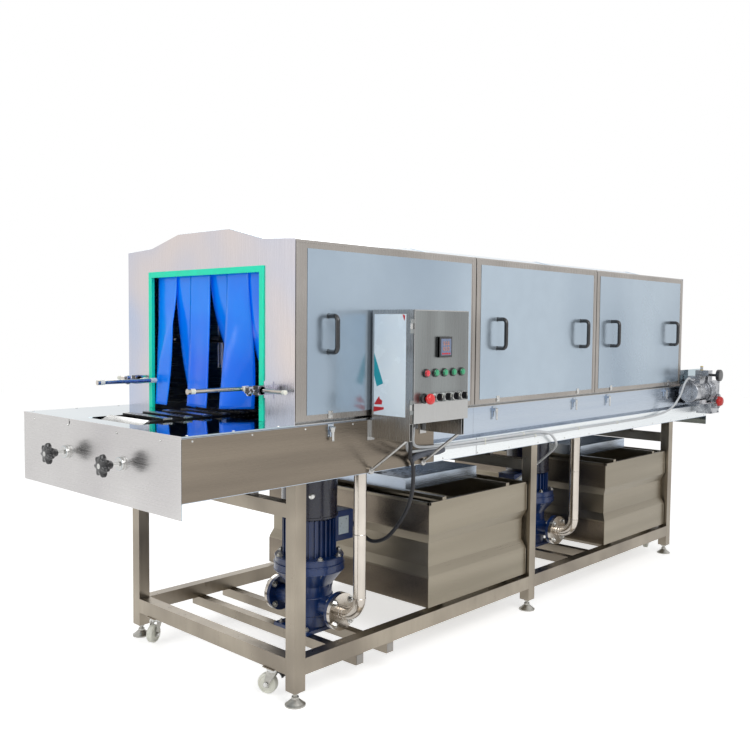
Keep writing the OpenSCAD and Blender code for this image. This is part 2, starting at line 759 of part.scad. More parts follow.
// Inline pump: foot, volute with two pipe flanges, and the bell under the motor.
// Each level is measured from the foot.
bell_low = 242;
bell_top = 274;
motor_flange_t = 28;
fins_top = 455;
cover_h = 185;
volute_r = 95;
cavity_r = 74;
pump_shaft_r = 14;

module at_pump(i) translate([i == 0 ? pump_1_x : pump_2_x, -pump_y, i == 0 ? pump_base_1 : pump_base_2])
    children();
function fins_of(i) = fins_top - i * pump_2_short;

module pump_heads() color(blue) centred() for (i = [0, 1]) at_pump(i) difference() {
    union() {
        block([-105, -100, 0], [105, 100, 14]);
        cylinder(h = bell_low - 20, r = volute_r);
        translate([0, 0, bell_low - 62]) cylinder(h = 62, r1 = volute_r, r2 = bell_d / 2);
        translate([0, 0, bell_low]) cylinder(h = bell_top - bell_low, r = bell_d / 2);
        bar_y(0, -pump_half + 2, pump_half - 2, pump_port_z, pipe_d / 2 + 14);
        for (y = [-pump_half, pump_half - flange_t]) bar_y(0, y, y + flange_t, pump_port_z, flange_d / 2);
    }
    bar_y(0, -pump_half - eps, pump_half + eps, pump_port_z, pipe_d / 2);
    translate([0, 0, pump_port_z - 45]) cylinder(h = 90, r = cavity_r);
    cylinder(h = bell_top + eps, r = pump_shaft_r + run_fit);
    translate([0, 0, bell_low - 30]) cylinder(h = 80, r = 60);
    for (a = [45:90:315], y = [-pump_half - eps, pump_half - flange_t - eps])
        translate([0, 0, pump_port_z]) rotate([0, a, 0])
            bar_y(flange_d / 2 - 14, y, y + flange_t + 2 * eps, 0, 8);
}

module pump_motors() color(blue) centred() for (i = [0, 1]) at_pump(i) difference() {
    fins = fins_of(i);
    union() {
        translate([0, 0, bell_top]) cylinder(h = motor_flange_t, r = bell_d / 2 - 4);
        translate([0, 0, bell_top]) linear_extrude(fins - bell_top) {
            circle(pump_motor_d / 2 - 14);
            for (a = [0:12:348]) rotate(a) translate([0, -2]) square([pump_motor_d / 2, 4]);
        }
        rotate([0, 0, i * 180]) {
            block([pump_motor_d / 2 - 30, -50, fins - 112], [pump_motor_d / 2 + 88, 50, fins + 6]);
            bar_x(pump_motor_d / 2 + 60, pump_motor_d / 2 + 100, 0, fins - 60, 10);
        }
    }
    translate([0, 0, bell_top - eps]) cylinder(h = fins, r = pump_shaft_r + run_fit);
    translate([0, 0, bell_top + 40]) cylinder(h = fins - bell_top - 60, r = 60);
}

// Fan covers, drawn from the top of the fins
module pump_fan_covers() color(dark_blue) centred() for (i = [0, 1])
    at_pump(i) translate([0, 0, fins_of(i)]) difference() {
        union() {
            translate([0, 0, 7]) cylinder(h = cover_h - 7, r = pump_motor_d / 2 + 3);
            cylinder(h = 10, r = pump_motor_d / 2 - 32);
        }
        translate([0, 0, 12]) cylinder(h = cover_h - 16, r = pump_motor_d / 2);
        translate([0, 0, -eps]) cylinder(h = 60, r = 60);
        for (r = [34, 62, 90], a = [0:30:330]) rotate(a) translate([r, 0, cover_h - 9]) cylinder(h = 12, r = 6);
    }

module pump_rotor(i) color(bright) centred() at_pump(i) {
    fins = fins_of(i);
    translate([0, 0, pump_port_z - 26]) cylinder(h = fins - pump_port_z + 66, r = pump_shaft_r);
    translate([0, 0, pump_port_z - 34]) cylinder(h = 22, r = cavity_r - 6);
    translate([0, 0, bell_top + 48]) cylinder(h = fins - bell_top - 76, r = 56);
    translate([0, 0, fins + 20]) cylinder(h = 6, r = pump_motor_d / 2 - 12);
    for (a = [0:45:315]) rotate(a) block([20, -2, fins + 25], [pump_motor_d / 2 - 14, 2, fins + 62]);
}

module pump_rotor_1() pump_rotor(0);
module pump_rotor_2() pump_rotor(1);

// Quarter bend about the local Z axis, from its turn angle on
module elbow(turn) rotate([0, 0, turn]) rotate_extrude(angle = 90) translate([bend_r, 0]) circle(pipe_d / 2);

module spray_nozzle() translate([0, 0, spray_r - 4]) cylinder(h = 30, r1 = 5, r2 = 9);

spray_l = 700;
spray_r = 17;

// Riser, arch over the tunnel and four spray bars for one pump. Lengths and bends are separate
// pieces, and the bars lie on the arch and against the uprights.
module spray_bar(x, y, z, tilt, over_arch = false) {
    bar_x(x - spray_l / 2, x + spray_l / 2, y, z, spray_r);
    for (i = [-4:4]) if (i != 0 || !over_arch)
        translate([x + i * spray_l / 9.5, y, z]) rotate([tilt, 0, 0]) spray_nozzle();
}

module spray_frame(x, port_z) {
    arch_y = -riser_y;
    r = pipe_d / 2;
    r_arch = r - 2;
    top = arch_z - r_arch - weld_gap;
    bar_y(x, pump_face_y - flange_t, pump_face_y - 0.2, port_z, flange_d / 2);
    bar_y(x, riser_y + bend_r + weld_gap, pump_face_y - flange_t + eps, port_z, r);
    translate([x, riser_y + bend_r, port_z + bend_r]) rotate([90, 0, 90]) elbow(180);
    bar_z(x, riser_y, port_z + bend_r + weld_gap, top, r);
    bar_y(x, riser_y - r, arch_y + r, arch_z, r_arch);
    bar_z(x, arch_y, table_z + 150, top, r_arch);
    for (y = [-190, 190]) spray_bar(x, y, arch_z + r_arch + spray_r + weld_gap, 180, true);
    spray_bar(x, riser_y + r + spray_r + weld_gap, table_z + 280, -90);
    spray_bar(x, arch_y - r_arch - spray_r - weld_gap, table_z + 280, 90);
}

// Suction line from the tank's end wall to the pump
module suction_line(x, port_z, tank_x) {
    y0 = -pump_y + pump_half;
    bar_y(x, y0 + 0.2, y0 + flange_t, port_z, flange_d / 2);
    bar_y(x, y0 + flange_t - eps, suction_y - bend_r - weld_gap, port_z, pipe_d / 2);
    translate([x + bend_r, suction_y - bend_r, port_z]) elbow(90);
    bar_x(x + bend_r + weld_gap, tank_x - 0.2, suction_y, port_z, pipe_d / 2);
    bar_x(tank_x - 10.2, tank_x - 0.2, suction_y, port_z, pipe_d / 2 + 20);
}

module pipework() color(bright) centred() {
    spray_frame(pump_1_x, pump_base_1 + pump_port_z);
    spray_frame(pump_2_x, pump_base_2 + pump_port_z);
    suction_line(pump_1_x, pump_base_1 + pump_port_z, tank_xs[0]);
    suction_line(pump_2_x, pump_base_2 + pump_port_z, tank_xs[1]);
}

// Side of a tank in section: plain top and bottom with a pressed-in band between
function tank_side(half, inset) = [
    [half - inset, 0], [half - inset, 130], [half - inset - tank_press, 168],
    [half - inset - tank_press, 268], [half - inset, 306], [half - inset, tank_h + 20]];

module tank_form(size, inset) {
    s = tank_side(size / 2, inset);
    polygon(concat(s, [for (i = [5:-1:0]) [-s[i][0], s[i][1]]]));
}

module tank_solid(inset) intersection() {
    along_y(-tank_w / 2, tank_w / 2) tank_form(tank_l, inset);
    along_x(-tank_l / 2, tank_l / 2) tank_form(tank_w, inset);
}

drain_r = 20;
drain_wall = 4;
drain_l = 40;
heater_z = 62;
heater_r = 40;
heater_l = tank_l - 200;

module tank() difference() {
    union() {
        intersection() {
            tank_solid(0);
            block([-tank_l, -tank_w, 0], [tank_l, tank_w, tank_h]);
        }
        bar_y(0, tank_w / 2 - drain_l + 10, tank_w / 2 + 10, 30, drain_r + drain_wall);
    }
    difference() {
        intersection() {
            translate([0, 0, tank_wall]) tank_solid(tank_wall);
            block([-tank_l, -tank_w, tank_wall], [tank_l, tank_w, tank_h + eps]);
        }
        bar_y(0, tank_w / 2 - drain_l + 10, tank_w / 2 + 10, 30, drain_r + drain_wall);
    }
    bar_y(0, tank_w / 2 - drain_l, tank_w / 2 + 11, 30, drain_r);
    bar_x(tank_l / 2 - 9, tank_l / 2 + 1, 0, heater_z, heater_r);
}

// Both tanks, each with two bars across its rim for the filter tray
module water_tanks() color(steel) centred() for (x = tank_xs) {
    translate([x + tank_l / 2, 0, tank_z]) tank();
    for (dx = [tray_x_in + 12, tray_x_in + tray_l - 37])
        block([x + dx, -tank_w / 2, tank_top], [x + dx + 25, tank_w / 2, tray_z]);
}

module immersion_heaters() color([0.3, 0.3, 0.32]) centred() for (x = tank_xs)
    translate([x + tank_l, 0, tank_z + heater_z]) {
        bar_x(0.2, 6, 0, 0, heater_r + 16);
        bar_x(5, 44, 0, 0, heater_r + 2);
        for (a = [0:60:300]) rotate([a, 0, 0]) bar_x(-heater_l, 1, heater_r * 0.6, 0, 6);
    }

module filter_tray(i) color(bright) centred() translate([tank_xs[i] + tray_x_in, -tray_w / 2, tray_z + 0.3])
    difference() {
        cube([tray_l, tray_w, tray_h]);
        translate([2, 2, 2]) cube([tray_l - 4, tray_w - 4, tray_h]);
        for (x = [60:56:tray_l - 50], y = [40:68:tray_w - 30])
            translate([x, y, -eps]) cylinder(h = 5, r = 9, $fn = 24);
    }

module filter_tray_1() filter_tray(0);
module filter_tray_2() filter_tray(1);

// Control box, open at the front, standing on two arms
module control_box() color(steel) centred() difference() {
    union() {
        difference() {
            block([box_x, box_front, box_z], [box_x + box_w, box_back, box_z + box_h]);
            block([box_x + 2, box_front - eps, box_z + 2], [box_x + box_w - 2, box_back - 2, box_z + box_h - 2]);
        }
        for (z = [60, box_h - 60]) bar_z(hinge_x, hinge_y, box_z + z - 10, box_z + z + 10, 6);
        for (z = [60, box_h - 60]) block([hinge_x, hinge_y - 2, box_z + z - 10], [box_x + eps, hinge_y + 2, box_z + z + 10]);
    }
    for (z = [60, box_h - 60]) bar_z(hinge_x, hinge_y, box_z + z - 11, box_z + z + 11, 3 + run_fit);
    for (g = glands) bar_z(box_x + g[0], box_front + g[1], box_z - eps, box_z + 3, g[2] + seam);
}

// Cable glands: place from the box's corner, and radius
glands = [[76, 76, 15], [96, 105, 12], [130, 105, 12]];
panel_x0 = box_x + 1;
panel_x1 = box_x + box_w - 1;

// Places on the panel, measured from the box's lower left corner
lamp_xs = [68, 121, 173, 225, 277];
lamp_z = 182;
selector_xs = [134, 184, 234, 283];
selector_z = 92;
stop_at = [60, 90];
screen_at = [131, 238];
screen_w = 74;
screen_h = 77;
screen_out = 12;

module control_door() color([0.52, 0.53, 0.52]) centred() difference() {
    union() {
        block([panel_x0, panel_y0, box_z + 1], [panel_x1, box_front - 0.5, box_z + box_h - 1]);
        block([panel_x0, panel_y0 - 2, box_z + 1], [panel_x1, panel_y0 + eps, box_z + 74]);
        for (z = [60, box_h - 60]) {
            for (s = [-1, 1]) {
                bar_z(hinge_x, hinge_y, box_z + z + s * 18 - 7.5, box_z + z + s * 18 + 7.5, 6);
                block([hinge_x, panel_y0, box_z + z + s * 18 - 7.5], [panel_x0 + eps, hinge_y - 2.5, box_z + z + s * 18 + 7.5]);
            }
            bar_z(hinge_x, hinge_y, box_z + z - 25, box_z + z + 25, 3);
        }
    }
    block([box_x + screen_at[0] + 4, panel_y0 - eps, box_z + screen_at[1] + 4],
        [box_x + screen_at[0] + screen_w - 4, box_front + eps, box_z + screen_at[1] + screen_h - 4]);
    for (x = lamp_xs) bar_y(box_x + x, panel_y0 - eps, box_front + eps, box_z + lamp_z, 8);
    for (x = selector_xs) bar_y(box_x + x, panel_y0 - eps, box_front + eps, box_z + selector_z, 8 + run_fit);
    bar_y(box_x + stop_at[0], panel_y0 - eps, box_front + eps, box_z + stop_at[1], 8 + run_fit);
}

// Temperature controller and five lamps, set in the panel
module panel_instruments() color(black) centred() {
    block([box_x + screen_at[0], panel_y0 - screen_out, box_z + screen_at[1]],
        [box_x + screen_at[0] + screen_w, panel_y0 - 0.2, box_z + screen_at[1] + screen_h]);
    block([box_x + screen_at[0] + 5, panel_y0 - 1, box_z + screen_at[1] + 5],
        [box_x + screen_at[0] + screen_w - 5, box_front + 60, box_z + screen_at[1] + screen_h - 5]);
    for (x = lamp_xs) {
        bar_y(box_x + x, panel_y0 - 6, panel_y0 - 0.2, box_z + lamp_z, 15.5);
        bar_y(box_x + x, panel_y0 - 12, panel_y0 - 5, box_z + lamp_z, 12);
        bar_y(box_x + x, panel_y0 - 1, box_front + 40, box_z + lamp_z, 7.5);
    }
}

module emergency_stop() color([0.85, 0.06, 0.05]) centred() {
    x = box_x + stop_at[0];
    z = box_z + stop_at[1];
    translate([x, panel_y0 - stop_out, z]) rotate([-90, 0, 0]) rotate_extrude()
        polygon([[0, 0], [stop_d / 2 - 5, 0], [stop_d / 2, 6], [stop_d / 2, 13], [stop_d / 2 - 5, 17], [0, 17]]);
    bar_y(x, panel_y0 - stop_out + 16, box_front + 20, z, 8);
}

module selector(i) color(black) centred() {
    x = box_x + selector_xs[i];
    z = box_z + selector_z;
    bar_y(x, panel_y0 - 12, panel_y0 - 0.5, z, 14);
    block([x - 4, panel_y0 - 26, z - 13], [x + 4, panel_y0 - 11, z + 13]);
    bar_y(x, panel_y0 - 1, box_front + 20, z, 8);
}

module selector_1() selector(0);
module selector_2() selector(1);
module selector_3() selector(2);
module selector_4() selector(3);

// Arms under the box, tied back to the side panel by stay rods
module stay(x) {
    a = [x, box_front + 24, box_z - arm_h + 8];
    b = [x, -half_w - 6, skirt_z + 10];
    d = b - a;
    translate(a) rotate([atan2(-d[1], d[2]), 0, 0]) cylinder(h = norm(d), r = 6);
    bar_y(x, -half_w - 10, -half_w, skirt_z + 10, 14);
}

module box_bracket() color(steel) centred() for (x = [box_x, box_x + box_w - 15]) {
    tube([x, box_front + 12, box_z - arm_h], [x + 15, -half_w, box_z], 1, 2);
    block([x - 12, -half_w - 4, box_z - arm_h - 12], [x + 27, -half_w, box_z]);
    stay(x + 7.5);
}

// Mounting plate with contactors, breakers and a terminal row
module switchgear() color([0.75, 0.75, 0.72]) centred() translate([box_x + 20, box_back - 12, box_z + 20]) {
    w = box_w - 40;
    h = box_h - 40;
    block([0, 0, 0], [w, 3, h]);
    for (x = [12, w - 12], z = [12, h - 12]) bar_y(x, 2, 10, z, 5);
    for (k = [0:3]) {
        block([w * (0.05 + 0.11 * k), -0.3 * box_d, 0.71 * h], [w * (0.14 + 0.11 * k), 0.5, 0.93 * h]);
        block([w * (0.05 + 0.22 * k), -0.37 * box_d, 0.4 * h], [w * (0.23 + 0.22 * k), 0.5, 0.62 * h]);
    }
    block([0.04 * w, -0.15 * box_d, 0.24 * h], [0.96 * w, 0.5, 0.32 * h]);
    for (k = [0.57, 0.73]) block([k * w, -0.22 * box_d, 0.72 * h], [(k + 0.13) * w, 0.5, 0.92 * h]);
}

// Rail on a cross rod that slides through its clamp
module guide_rail(side) color(bright) centred() mirror([0, side < 0 ? 1 : 0, 0]) {
    z = table_z + guide_z;
    bar_x(rod_x + 25 - guide_l, rod_x + 25, guide_y, z, guide_d / 2);
    bar_x(rod_x + 17 - guide_l, rod_x + 28 - guide_l, guide_y, z, guide_d / 2 + 2);
    bar_y(rod_x, guide_y, half_w + 5, z, rod_d / 2);
}

module guide_rail_1() guide_rail(-1);
module guide_rail_2() guide_rail(1);

// Star-shaped grip with rounded lobes
module star(r, lobes, h) linear_extrude(h) {
    circle(r * 0.72);
    for (a = [0:360 / lobes:359]) rotate(a) translate([r * 0.7, 0]) circle(r * 0.3);
}

// Tension screw with its star knob
module star_knob(side) color(black) centred() translate([infeed_x - knob_out, side * knob_y, knob_z])
    rotate([0, 90, 0]) {
        star(knob_d / 2, 7, 26);
        translate([0, 0, 25]) cylinder(h = 20, r1 = 17, r2 = 13);
        translate([0, 0, 44]) cylinder(h = knob_out + idler_in - screw_end - 44 - 4, r = 8);
    }

module star_knob_1() star_knob(-1);
module star_knob_2() star_knob(1);

// Tunnel door: a pan with two handles, hooked over the hanging rod
module handle(x) {
    r = handle_d / 2;
    z = table_z + handle_z;
    y = -half_w - handle_out;
    bar_z(x, y, z - handle_l / 2, z + handle_l / 2, r);
    for (s = [-1, 1]) {
        zs = z + s * (handle_l / 2 - r);
        bar_y(x, y, -half_w + 1, zs, r - 0.5);
        bar_y(x, -half_w - 3, -half_w + 1, zs, r + 1);
    }
}

module door(i) color(film) centred() {
    x0 = max(i * door_pitch + door_gap / 2, sheet + 3);
    x1 = min((i + 1) * door_pitch - door_gap / 2, tunnel_l - sheet - 3);
    pan_top = hang_z - hang_d / 2 - lift_off - 3;
    block([x0, -half_w, door_z], [x1, -half_w + door_skin, hang_z]);
    for (x = [x0, x1 - door_skin]) block([x, -half_w, door_z], [x + door_skin, -half_w + door_t, pan_top]);
    block([x0, -half_w, door_z], [x1, -half_w + door_t, door_z + door_skin]);
    difference() {
        bar_x(x0, x1, hang_y, hang_z, door_t / 2);
        bar_x(x0 - eps, x1 + eps, hang_y, hang_z, hang_d / 2 + loose);
        block([x0 - eps, hang_y - hang_d / 2 - loose, hang_z - door_t],
            [x1 + eps, hang_y + hang_d / 2 + loose, hang_z]);
    }
    for (s = [-0.5, 0.5]) handle((i + 0.5) * door_pitch + s * handle_pitch);
}

module door_1() door(0);
module door_2() door(1);
module door_3() door(2);

// Latch lever hanging on the pin of its base
module latch(i) color(bright) centred() {
    x = latch_x(i);
    y = panel_y(x) - latch_out;
    w = latch_w / 2;
    difference() {
        union() {
            bar_x(x - w, x + w, y, latch_z, latch_pin_r + 2.5);
            block([x - w, y - 5.5, latch_z - 14], [x + w, y - 2.5, latch_z]);
            block([x - w * 0.6, y - 5.5, latch_z - latch_l], [x + w * 0.6, y - 2.5, latch_z - 13]);
        }
        bar_x(x - w - eps, x + w + eps, y, latch_z, latch_pin_r + run_fit);
    }
}

module latch_1() latch(0);
module latch_2() latch(1);
module latch_3() latch(2);
module latch_4() latch(3);
module latch_5() latch(4);
module latch_6() latch(5);

// Castors turn under their pads; the wheel runs on a pin in the fork
function castor_at(i) = [castor_xs[floor(i / 2)], (i % 2 == 0 ? -1 : 1) * castor_y];
function castor_angle(i) = castor_turn[floor(i / 2)][i % 2];

module at_castor(i) centred() translate([castor_at(i)[0], castor_at(i)[1], 0])
    rotate([0, 0, castor_angle(i)]) children();

module castor_fork(i) color(bright) at_castor(i) {
    half = castor_w / 2 + 2;
    top = castor_top - loose;
    difference() {
        union() {
            bar_z(0, 0, top - 8, top, 24);
            for (s = [-1, 1]) along_y(s * (half + 1.5) - 1.5, s * (half + 1.5) + 1.5)
                polygon([[-18, top - 1], [18, top - 1], [castor_trail + 12, castor_z - 8],
                    [castor_trail + 6, castor_z - 13], [castor_trail - 10, castor_z - 13],
                    [castor_trail - 14, castor_z + 4], [-18, top - 12]]);
            block([-18, -half - 3, top - 4], [18, half + 3, top]);
        }
        bar_z(0, 0, top - 12, top + eps, 5 + run_fit);
    }
    bar_y(castor_trail, -half - 6, half + 6, castor_z, 5);
}

module castor_wheel(i) color([0.92, 0.92, 0.86]) at_castor(i) translate([castor_trail, 0, castor_z])
    rotate([90, 0, 0]) rotate_extrude() {
        w = castor_w / 2;
        polygon([[5 + run_fit, -w - 1], [13, -w - 1], [14, -w + 4], [castor_d / 2 - 10, -w + 4],
            [castor_d / 2 - 8, -w], [castor_d / 2 - 3, -w], [castor_d / 2, -w + 4],
            [castor_d / 2, w - 4], [castor_d / 2 - 3, w], [castor_d / 2 - 8, w],
            [castor_d / 2 - 10, w - 4], [14, w - 4], [13, w + 1], [5 + run_fit, w + 1]]);
    }

module castor_fork_1() castor_fork(0);
module castor_fork_2() castor_fork(1);
module castor_fork_3() castor_fork(2);
module castor_fork_4() castor_fork(3);
module castor_wheel_1() castor_wheel(0);
module castor_wheel_2() castor_wheel(1);
module castor_wheel_3() castor_wheel(2);
module castor_wheel_4() castor_wheel(3);

// Smooth curve through hand-set points, then a tube swept along it
function spline_point(p, t) = let (i = min(floor(t), len(p) - 2), u = t - i,
    a = p[max(i - 1, 0)], b = p[i], c = p[i + 1], d = p[min(i + 2, len(p) - 1)])
    0.5 * (2 * b + (c - a) * u + (2 * a - 5 * b + 4 * c - d) * u * u + (3 * b - a - 3 * c + d) * u * u * u);
function smooth(p, n) = [for (k = [0:n]) spline_point(p, k * (len(p) - 1) / n)];
function unit(v) = v / norm(v);
function heading(p, i) = unit(p[min(i + 1, len(p) - 1)] - p[max(i - 1, 0)]);
function square_to(v, t) = unit(v - (v * t) * t);

module swept(points, d, rings, sides = 8) {
    p = smooth(points, rings);
    start = heading(p, 0);
    side = square_to(abs(start[2]) > 0.8 ? [1, 0, 0] : [0, 0, 1], start);
    frames = [for (i = 0, v = side; i <= rings;
        i = i + 1, v = i <= rings ? square_to(v, heading(p, i)) : v) v];
    ring = [for (i = [0:rings], k = [0:sides - 1]) let (t = heading(p, i), u = frames[i],
        w = cross(t, u), a = 360 / sides * k) p[i] + d / 2 * (cos(a) * u + sin(a) * w)];
    faces = concat(
        [[for (k = [sides - 1:-1:0]) k]],
        [for (i = [0:rings - 1], k = [0:sides - 1]) let (m = (k + 1) % sides)
            [i * sides + k, i * sides + m, (i + 1) * sides + m]],
        [for (i = [0:rings - 1], k = [0:sides - 1]) let (m = (k + 1) % sides)
            [i * sides + k, (i + 1) * sides + m, (i + 1) * sides + k]],
        [[for (k = [0:sides - 1]) rings * sides + k]]);
    polyhedron(ring, [for (f = faces) [for (j = [len(f) - 1:-1:0]) f[j]]]);
}

// Lead from the control box down to the first pump's terminal box
pump_lead = [[450, -669, 985], [452, -668, 950], [470, -655, 905], [520, -610, 862], [575, -562, 838],
    [608, -548, 810], [622, -540, 760], [640, -520, 690], [655, -480, 610], [664, -420, 530],
    [668, -350, 465], [668, -270, 440], [670, -200, 470], [668, -162, 497], [656, -149, 505],
    [636, -149, 505]];
// Lead along the side panel to the drive motor
drive_lead = [[470, -640, 985], [474, -636, 950], [500, -610, 905], [560, -568, 866], [640, -545, 856],
    [800, -540, 850], [1100, -538, 846], [1500, -538, 844], [1900, -538, 846], [2300, -538, 846],
    [2700, -540, 850], [2900, -560, 880], [2970, -585, 950], [3010, -598, 1030], [3055, -600, 1056],
    [3100, -600, 1044], [3127, -600, 1044]];

// Lead along the side panel and down to the second pump's terminal box
second_lead = [[504, -640, 985], [508, -636, 950], [536, -610, 914], [594, -570, 886], [664, -548, 870],
    [800, -540, 862], [1100, -538, 860], [1400, -538, 860], [1520, -542, 860], [1590, -555, 850],
    [1640, -555, 822], [1680, -545, 788], [1710, -510, 754], [1735, -440, 700], [1750, -350, 630],
    [1758, -260, 560], [1764, -190, 520], [1780, -155, 506], [1802, -149, 505], [1825, -149, 505]];

module cables() color(black) centred() {
    swept(pump_lead, 16, 60, 10);
    swept(drive_lead, 12, 78, 8);
    swept(second_lead, 12, 70, 8);
    for (g = glands) bar_z(box_x + g[0], box_front + g[1], box_z - 18, box_z + 2, g[2]);
}

legs();
frame_rails();
cross_beams();
levelling_feet();
side_skirts();
table_plates();
door_frame();
tunnel_cover();
end_faces();
opening_trims();
drain_trough();
strip_curtains();
conveyor_frame();
conveyor_chain();
drive_shaft();
idler_shaft();
gearmotor();
speed_handwheel();
pump_heads();
pump_motors();
pump_fan_covers();
pump_rotor_1();
pump_rotor_2();
pipework();
water_tanks();
immersion_heaters();
filter_tray_1();
filter_tray_2();
control_box();
control_door();
box_bracket();
switchgear();
panel_instruments();
emergency_stop();
selector_1();
selector_2();
selector_3();
selector_4();
cables();
guide_rail_1();
guide_rail_2();
star_knob_1();
star_knob_2();
door_1();
door_2();
door_3();
latch_1();
latch_2();
latch_3();
latch_4();
latch_5();
latch_6();
castor_fork_1();
castor_fork_2();
castor_fork_3();
castor_fork_4();
castor_wheel_1();
castor_wheel_2();
castor_wheel_3();
castor_wheel_4();
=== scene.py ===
# %% [markdown]
# # A tunnel washing machine for waste bins
# This file dresses a finished engineering model. The steel frame, panels, pumps, doors and joints come from the CAD
# step, and every piece made here rides on one of its bodies, so the doors still open and the knobs still turn. The
# first cell loads that model.

# %% Load the machine
import math

import bmesh
import bpy
from mathutils import Matrix, Vector, noise


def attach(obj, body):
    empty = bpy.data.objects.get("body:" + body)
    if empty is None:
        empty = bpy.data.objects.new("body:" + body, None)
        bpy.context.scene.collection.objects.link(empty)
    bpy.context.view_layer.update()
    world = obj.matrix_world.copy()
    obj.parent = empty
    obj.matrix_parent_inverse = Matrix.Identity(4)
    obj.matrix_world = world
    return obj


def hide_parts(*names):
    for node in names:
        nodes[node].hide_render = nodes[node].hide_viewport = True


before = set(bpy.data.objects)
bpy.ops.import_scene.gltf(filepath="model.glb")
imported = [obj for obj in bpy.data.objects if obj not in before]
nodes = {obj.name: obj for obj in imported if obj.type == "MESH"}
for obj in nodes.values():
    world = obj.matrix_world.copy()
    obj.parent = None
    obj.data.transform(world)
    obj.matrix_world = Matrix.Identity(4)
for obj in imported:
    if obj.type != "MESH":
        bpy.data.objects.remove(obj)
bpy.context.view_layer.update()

# %% [markdown]
# The machine was drawn in millimetres from the tunnel's entrance face, which is how a fitter
# would measure it. Blender works in metres from the middle of the floor under the machine, so
# one small function turns the first into the second. Every size below is in the drawing's terms.

# %% From the drawing to Blender
MIDDLE_X, MIDDLE_Y = 1501.0, -125.25


def at(x, y, z):
    return Vector(((x - MIDDLE_X) / 1000, (y - MIDDLE_Y) / 1000, z / 1000))


print("entrance face is at", [round(v, 3) for v in at(0, 0, 0)])

# %% [markdown]
# The camera stands where the photographer stood: in front of the entrance, on the operator's
# side, at chest height. A camera can be aimed with three angles, but building its matrix from
# the three directions right, up and ahead leaves no doubt about the order of the turns.

# %% Camera
yaw, pitch, roll = (math.radians(a) for a in (46.816, 3.244, 0.525))
ahead = Vector((math.sin(yaw) * math.cos(pitch), math.cos(yaw) * math.cos(pitch), -math.sin(pitch)))
level = Vector((math.cos(yaw), -math.sin(yaw), 0))
above = level.cross(ahead)
right = math.cos(roll) * level + math.sin(roll) * above
up = -math.sin(roll) * level + math.cos(roll) * above
stand = at(-1988, -2776, 1353)
camera = bpy.data.objects.new("camera", bpy.data.cameras.new("camera"))
camera.data.sensor_width = 36
camera.data.lens = 41.77
camera.data.clip_end = 60
camera.matrix_world = Matrix([(right[i], up[i], -ahead[i], stand[i]) for i in range(3)] + [(0, 0, 0, 1)])
bpy.context.collection.objects.link(camera)
bpy.context.scene.camera = camera
print("camera height", round(stand.z, 3), "m, lens", round(camera.data.lens, 2))

# %% [markdown]
# Stainless steel shows its surroundings more than itself, so the room matters as much as the
# metal. The room is a white studio: what the camera sees directly and what polished metal
# reflects is plain white, while matt surfaces get a slightly dimmer, even light from all round.

# %% Studio room
scene = bpy.context.scene
scene.view_settings.view_transform = "Standard"
room = bpy.data.worlds.new("studio")
scene.world = room
room.use_nodes = True
wires = room.node_tree
soft_sky = wires.nodes["Background"]
soft_sky.inputs["Color"].default_value = (1, 1, 1, 1)
soft_sky.inputs["Strength"].default_value = 0.40
white_wall = wires.nodes.new("ShaderNodeBackground")
white_wall.inputs["Color"].default_value = (1, 1, 1, 1)
white_wall.inputs["Strength"].default_value = 1.0


def looked_at(tree):
    ray = tree.nodes.new("ShaderNodeLightPath")
    so_far = ray.outputs["Is Camera Ray"]
    for kind in ("Is Glossy Ray", "Is Transmission Ray"):
        larger = tree.nodes.new("ShaderNodeMath")
        larger.operation = "MAXIMUM"
        tree.links.new(so_far, larger.inputs[0])
        tree.links.new(ray.outputs[kind], larger.inputs[1])
        so_far = larger.outputs[0]
    return so_far


either = wires.nodes.new("ShaderNodeMixShader")
wires.links.new(looked_at(wires), either.inputs[0])
wires.links.new(soft_sky.outputs[0], either.inputs[1])
wires.links.new(white_wall.outputs[0], either.inputs[2])
wires.links.new(either.outputs[0], wires.nodes["World Output"].inputs["Surface"])
print("room is white to the camera, and", soft_sky.inputs["Strength"].default_value, "to matt surfaces")

# %% [markdown]
# Three big soft lamps shape the machine: a key from above the camera, a weaker one from the
# infeed end and one from behind that lifts the roof. The floor is a plain pale sheet. Where
# the camera or polished metal looks at it, part of its white is its own, so it joins the
# background without an edge and still takes a shadow; on matt surfaces it throws little light.

# %% Lamps and floor


def soft_lamp(name, place, target, size, power):
    lamp = bpy.data.objects.new(name, bpy.data.lights.new(name, "AREA"))
    lamp.data.shape = "RECTANGLE"
    lamp.data.size, lamp.data.size_y = size
    lamp.data.energy = power
    lamp.location = place
    lamp.rotation_euler = (Vector(target) - Vector(place)).to_track_quat("-Z", "Y").to_euler()
    bpy.context.collection.objects.link(lamp)
    print("lamp", name, power, "W")


soft_lamp("key", (-1.6, -3.6, 3.4), (0, 0, 0.9), (3.4, 2.2), 95)
soft_lamp("infeed_side", (-4.4, 0.6, 2.2), (-1.6, 0, 1.0), (2.0, 2.4), 30)
soft_lamp("behind", (1.0, 3.4, 3.6), (0, 0, 1.2), (4.0, 2.0), 55)

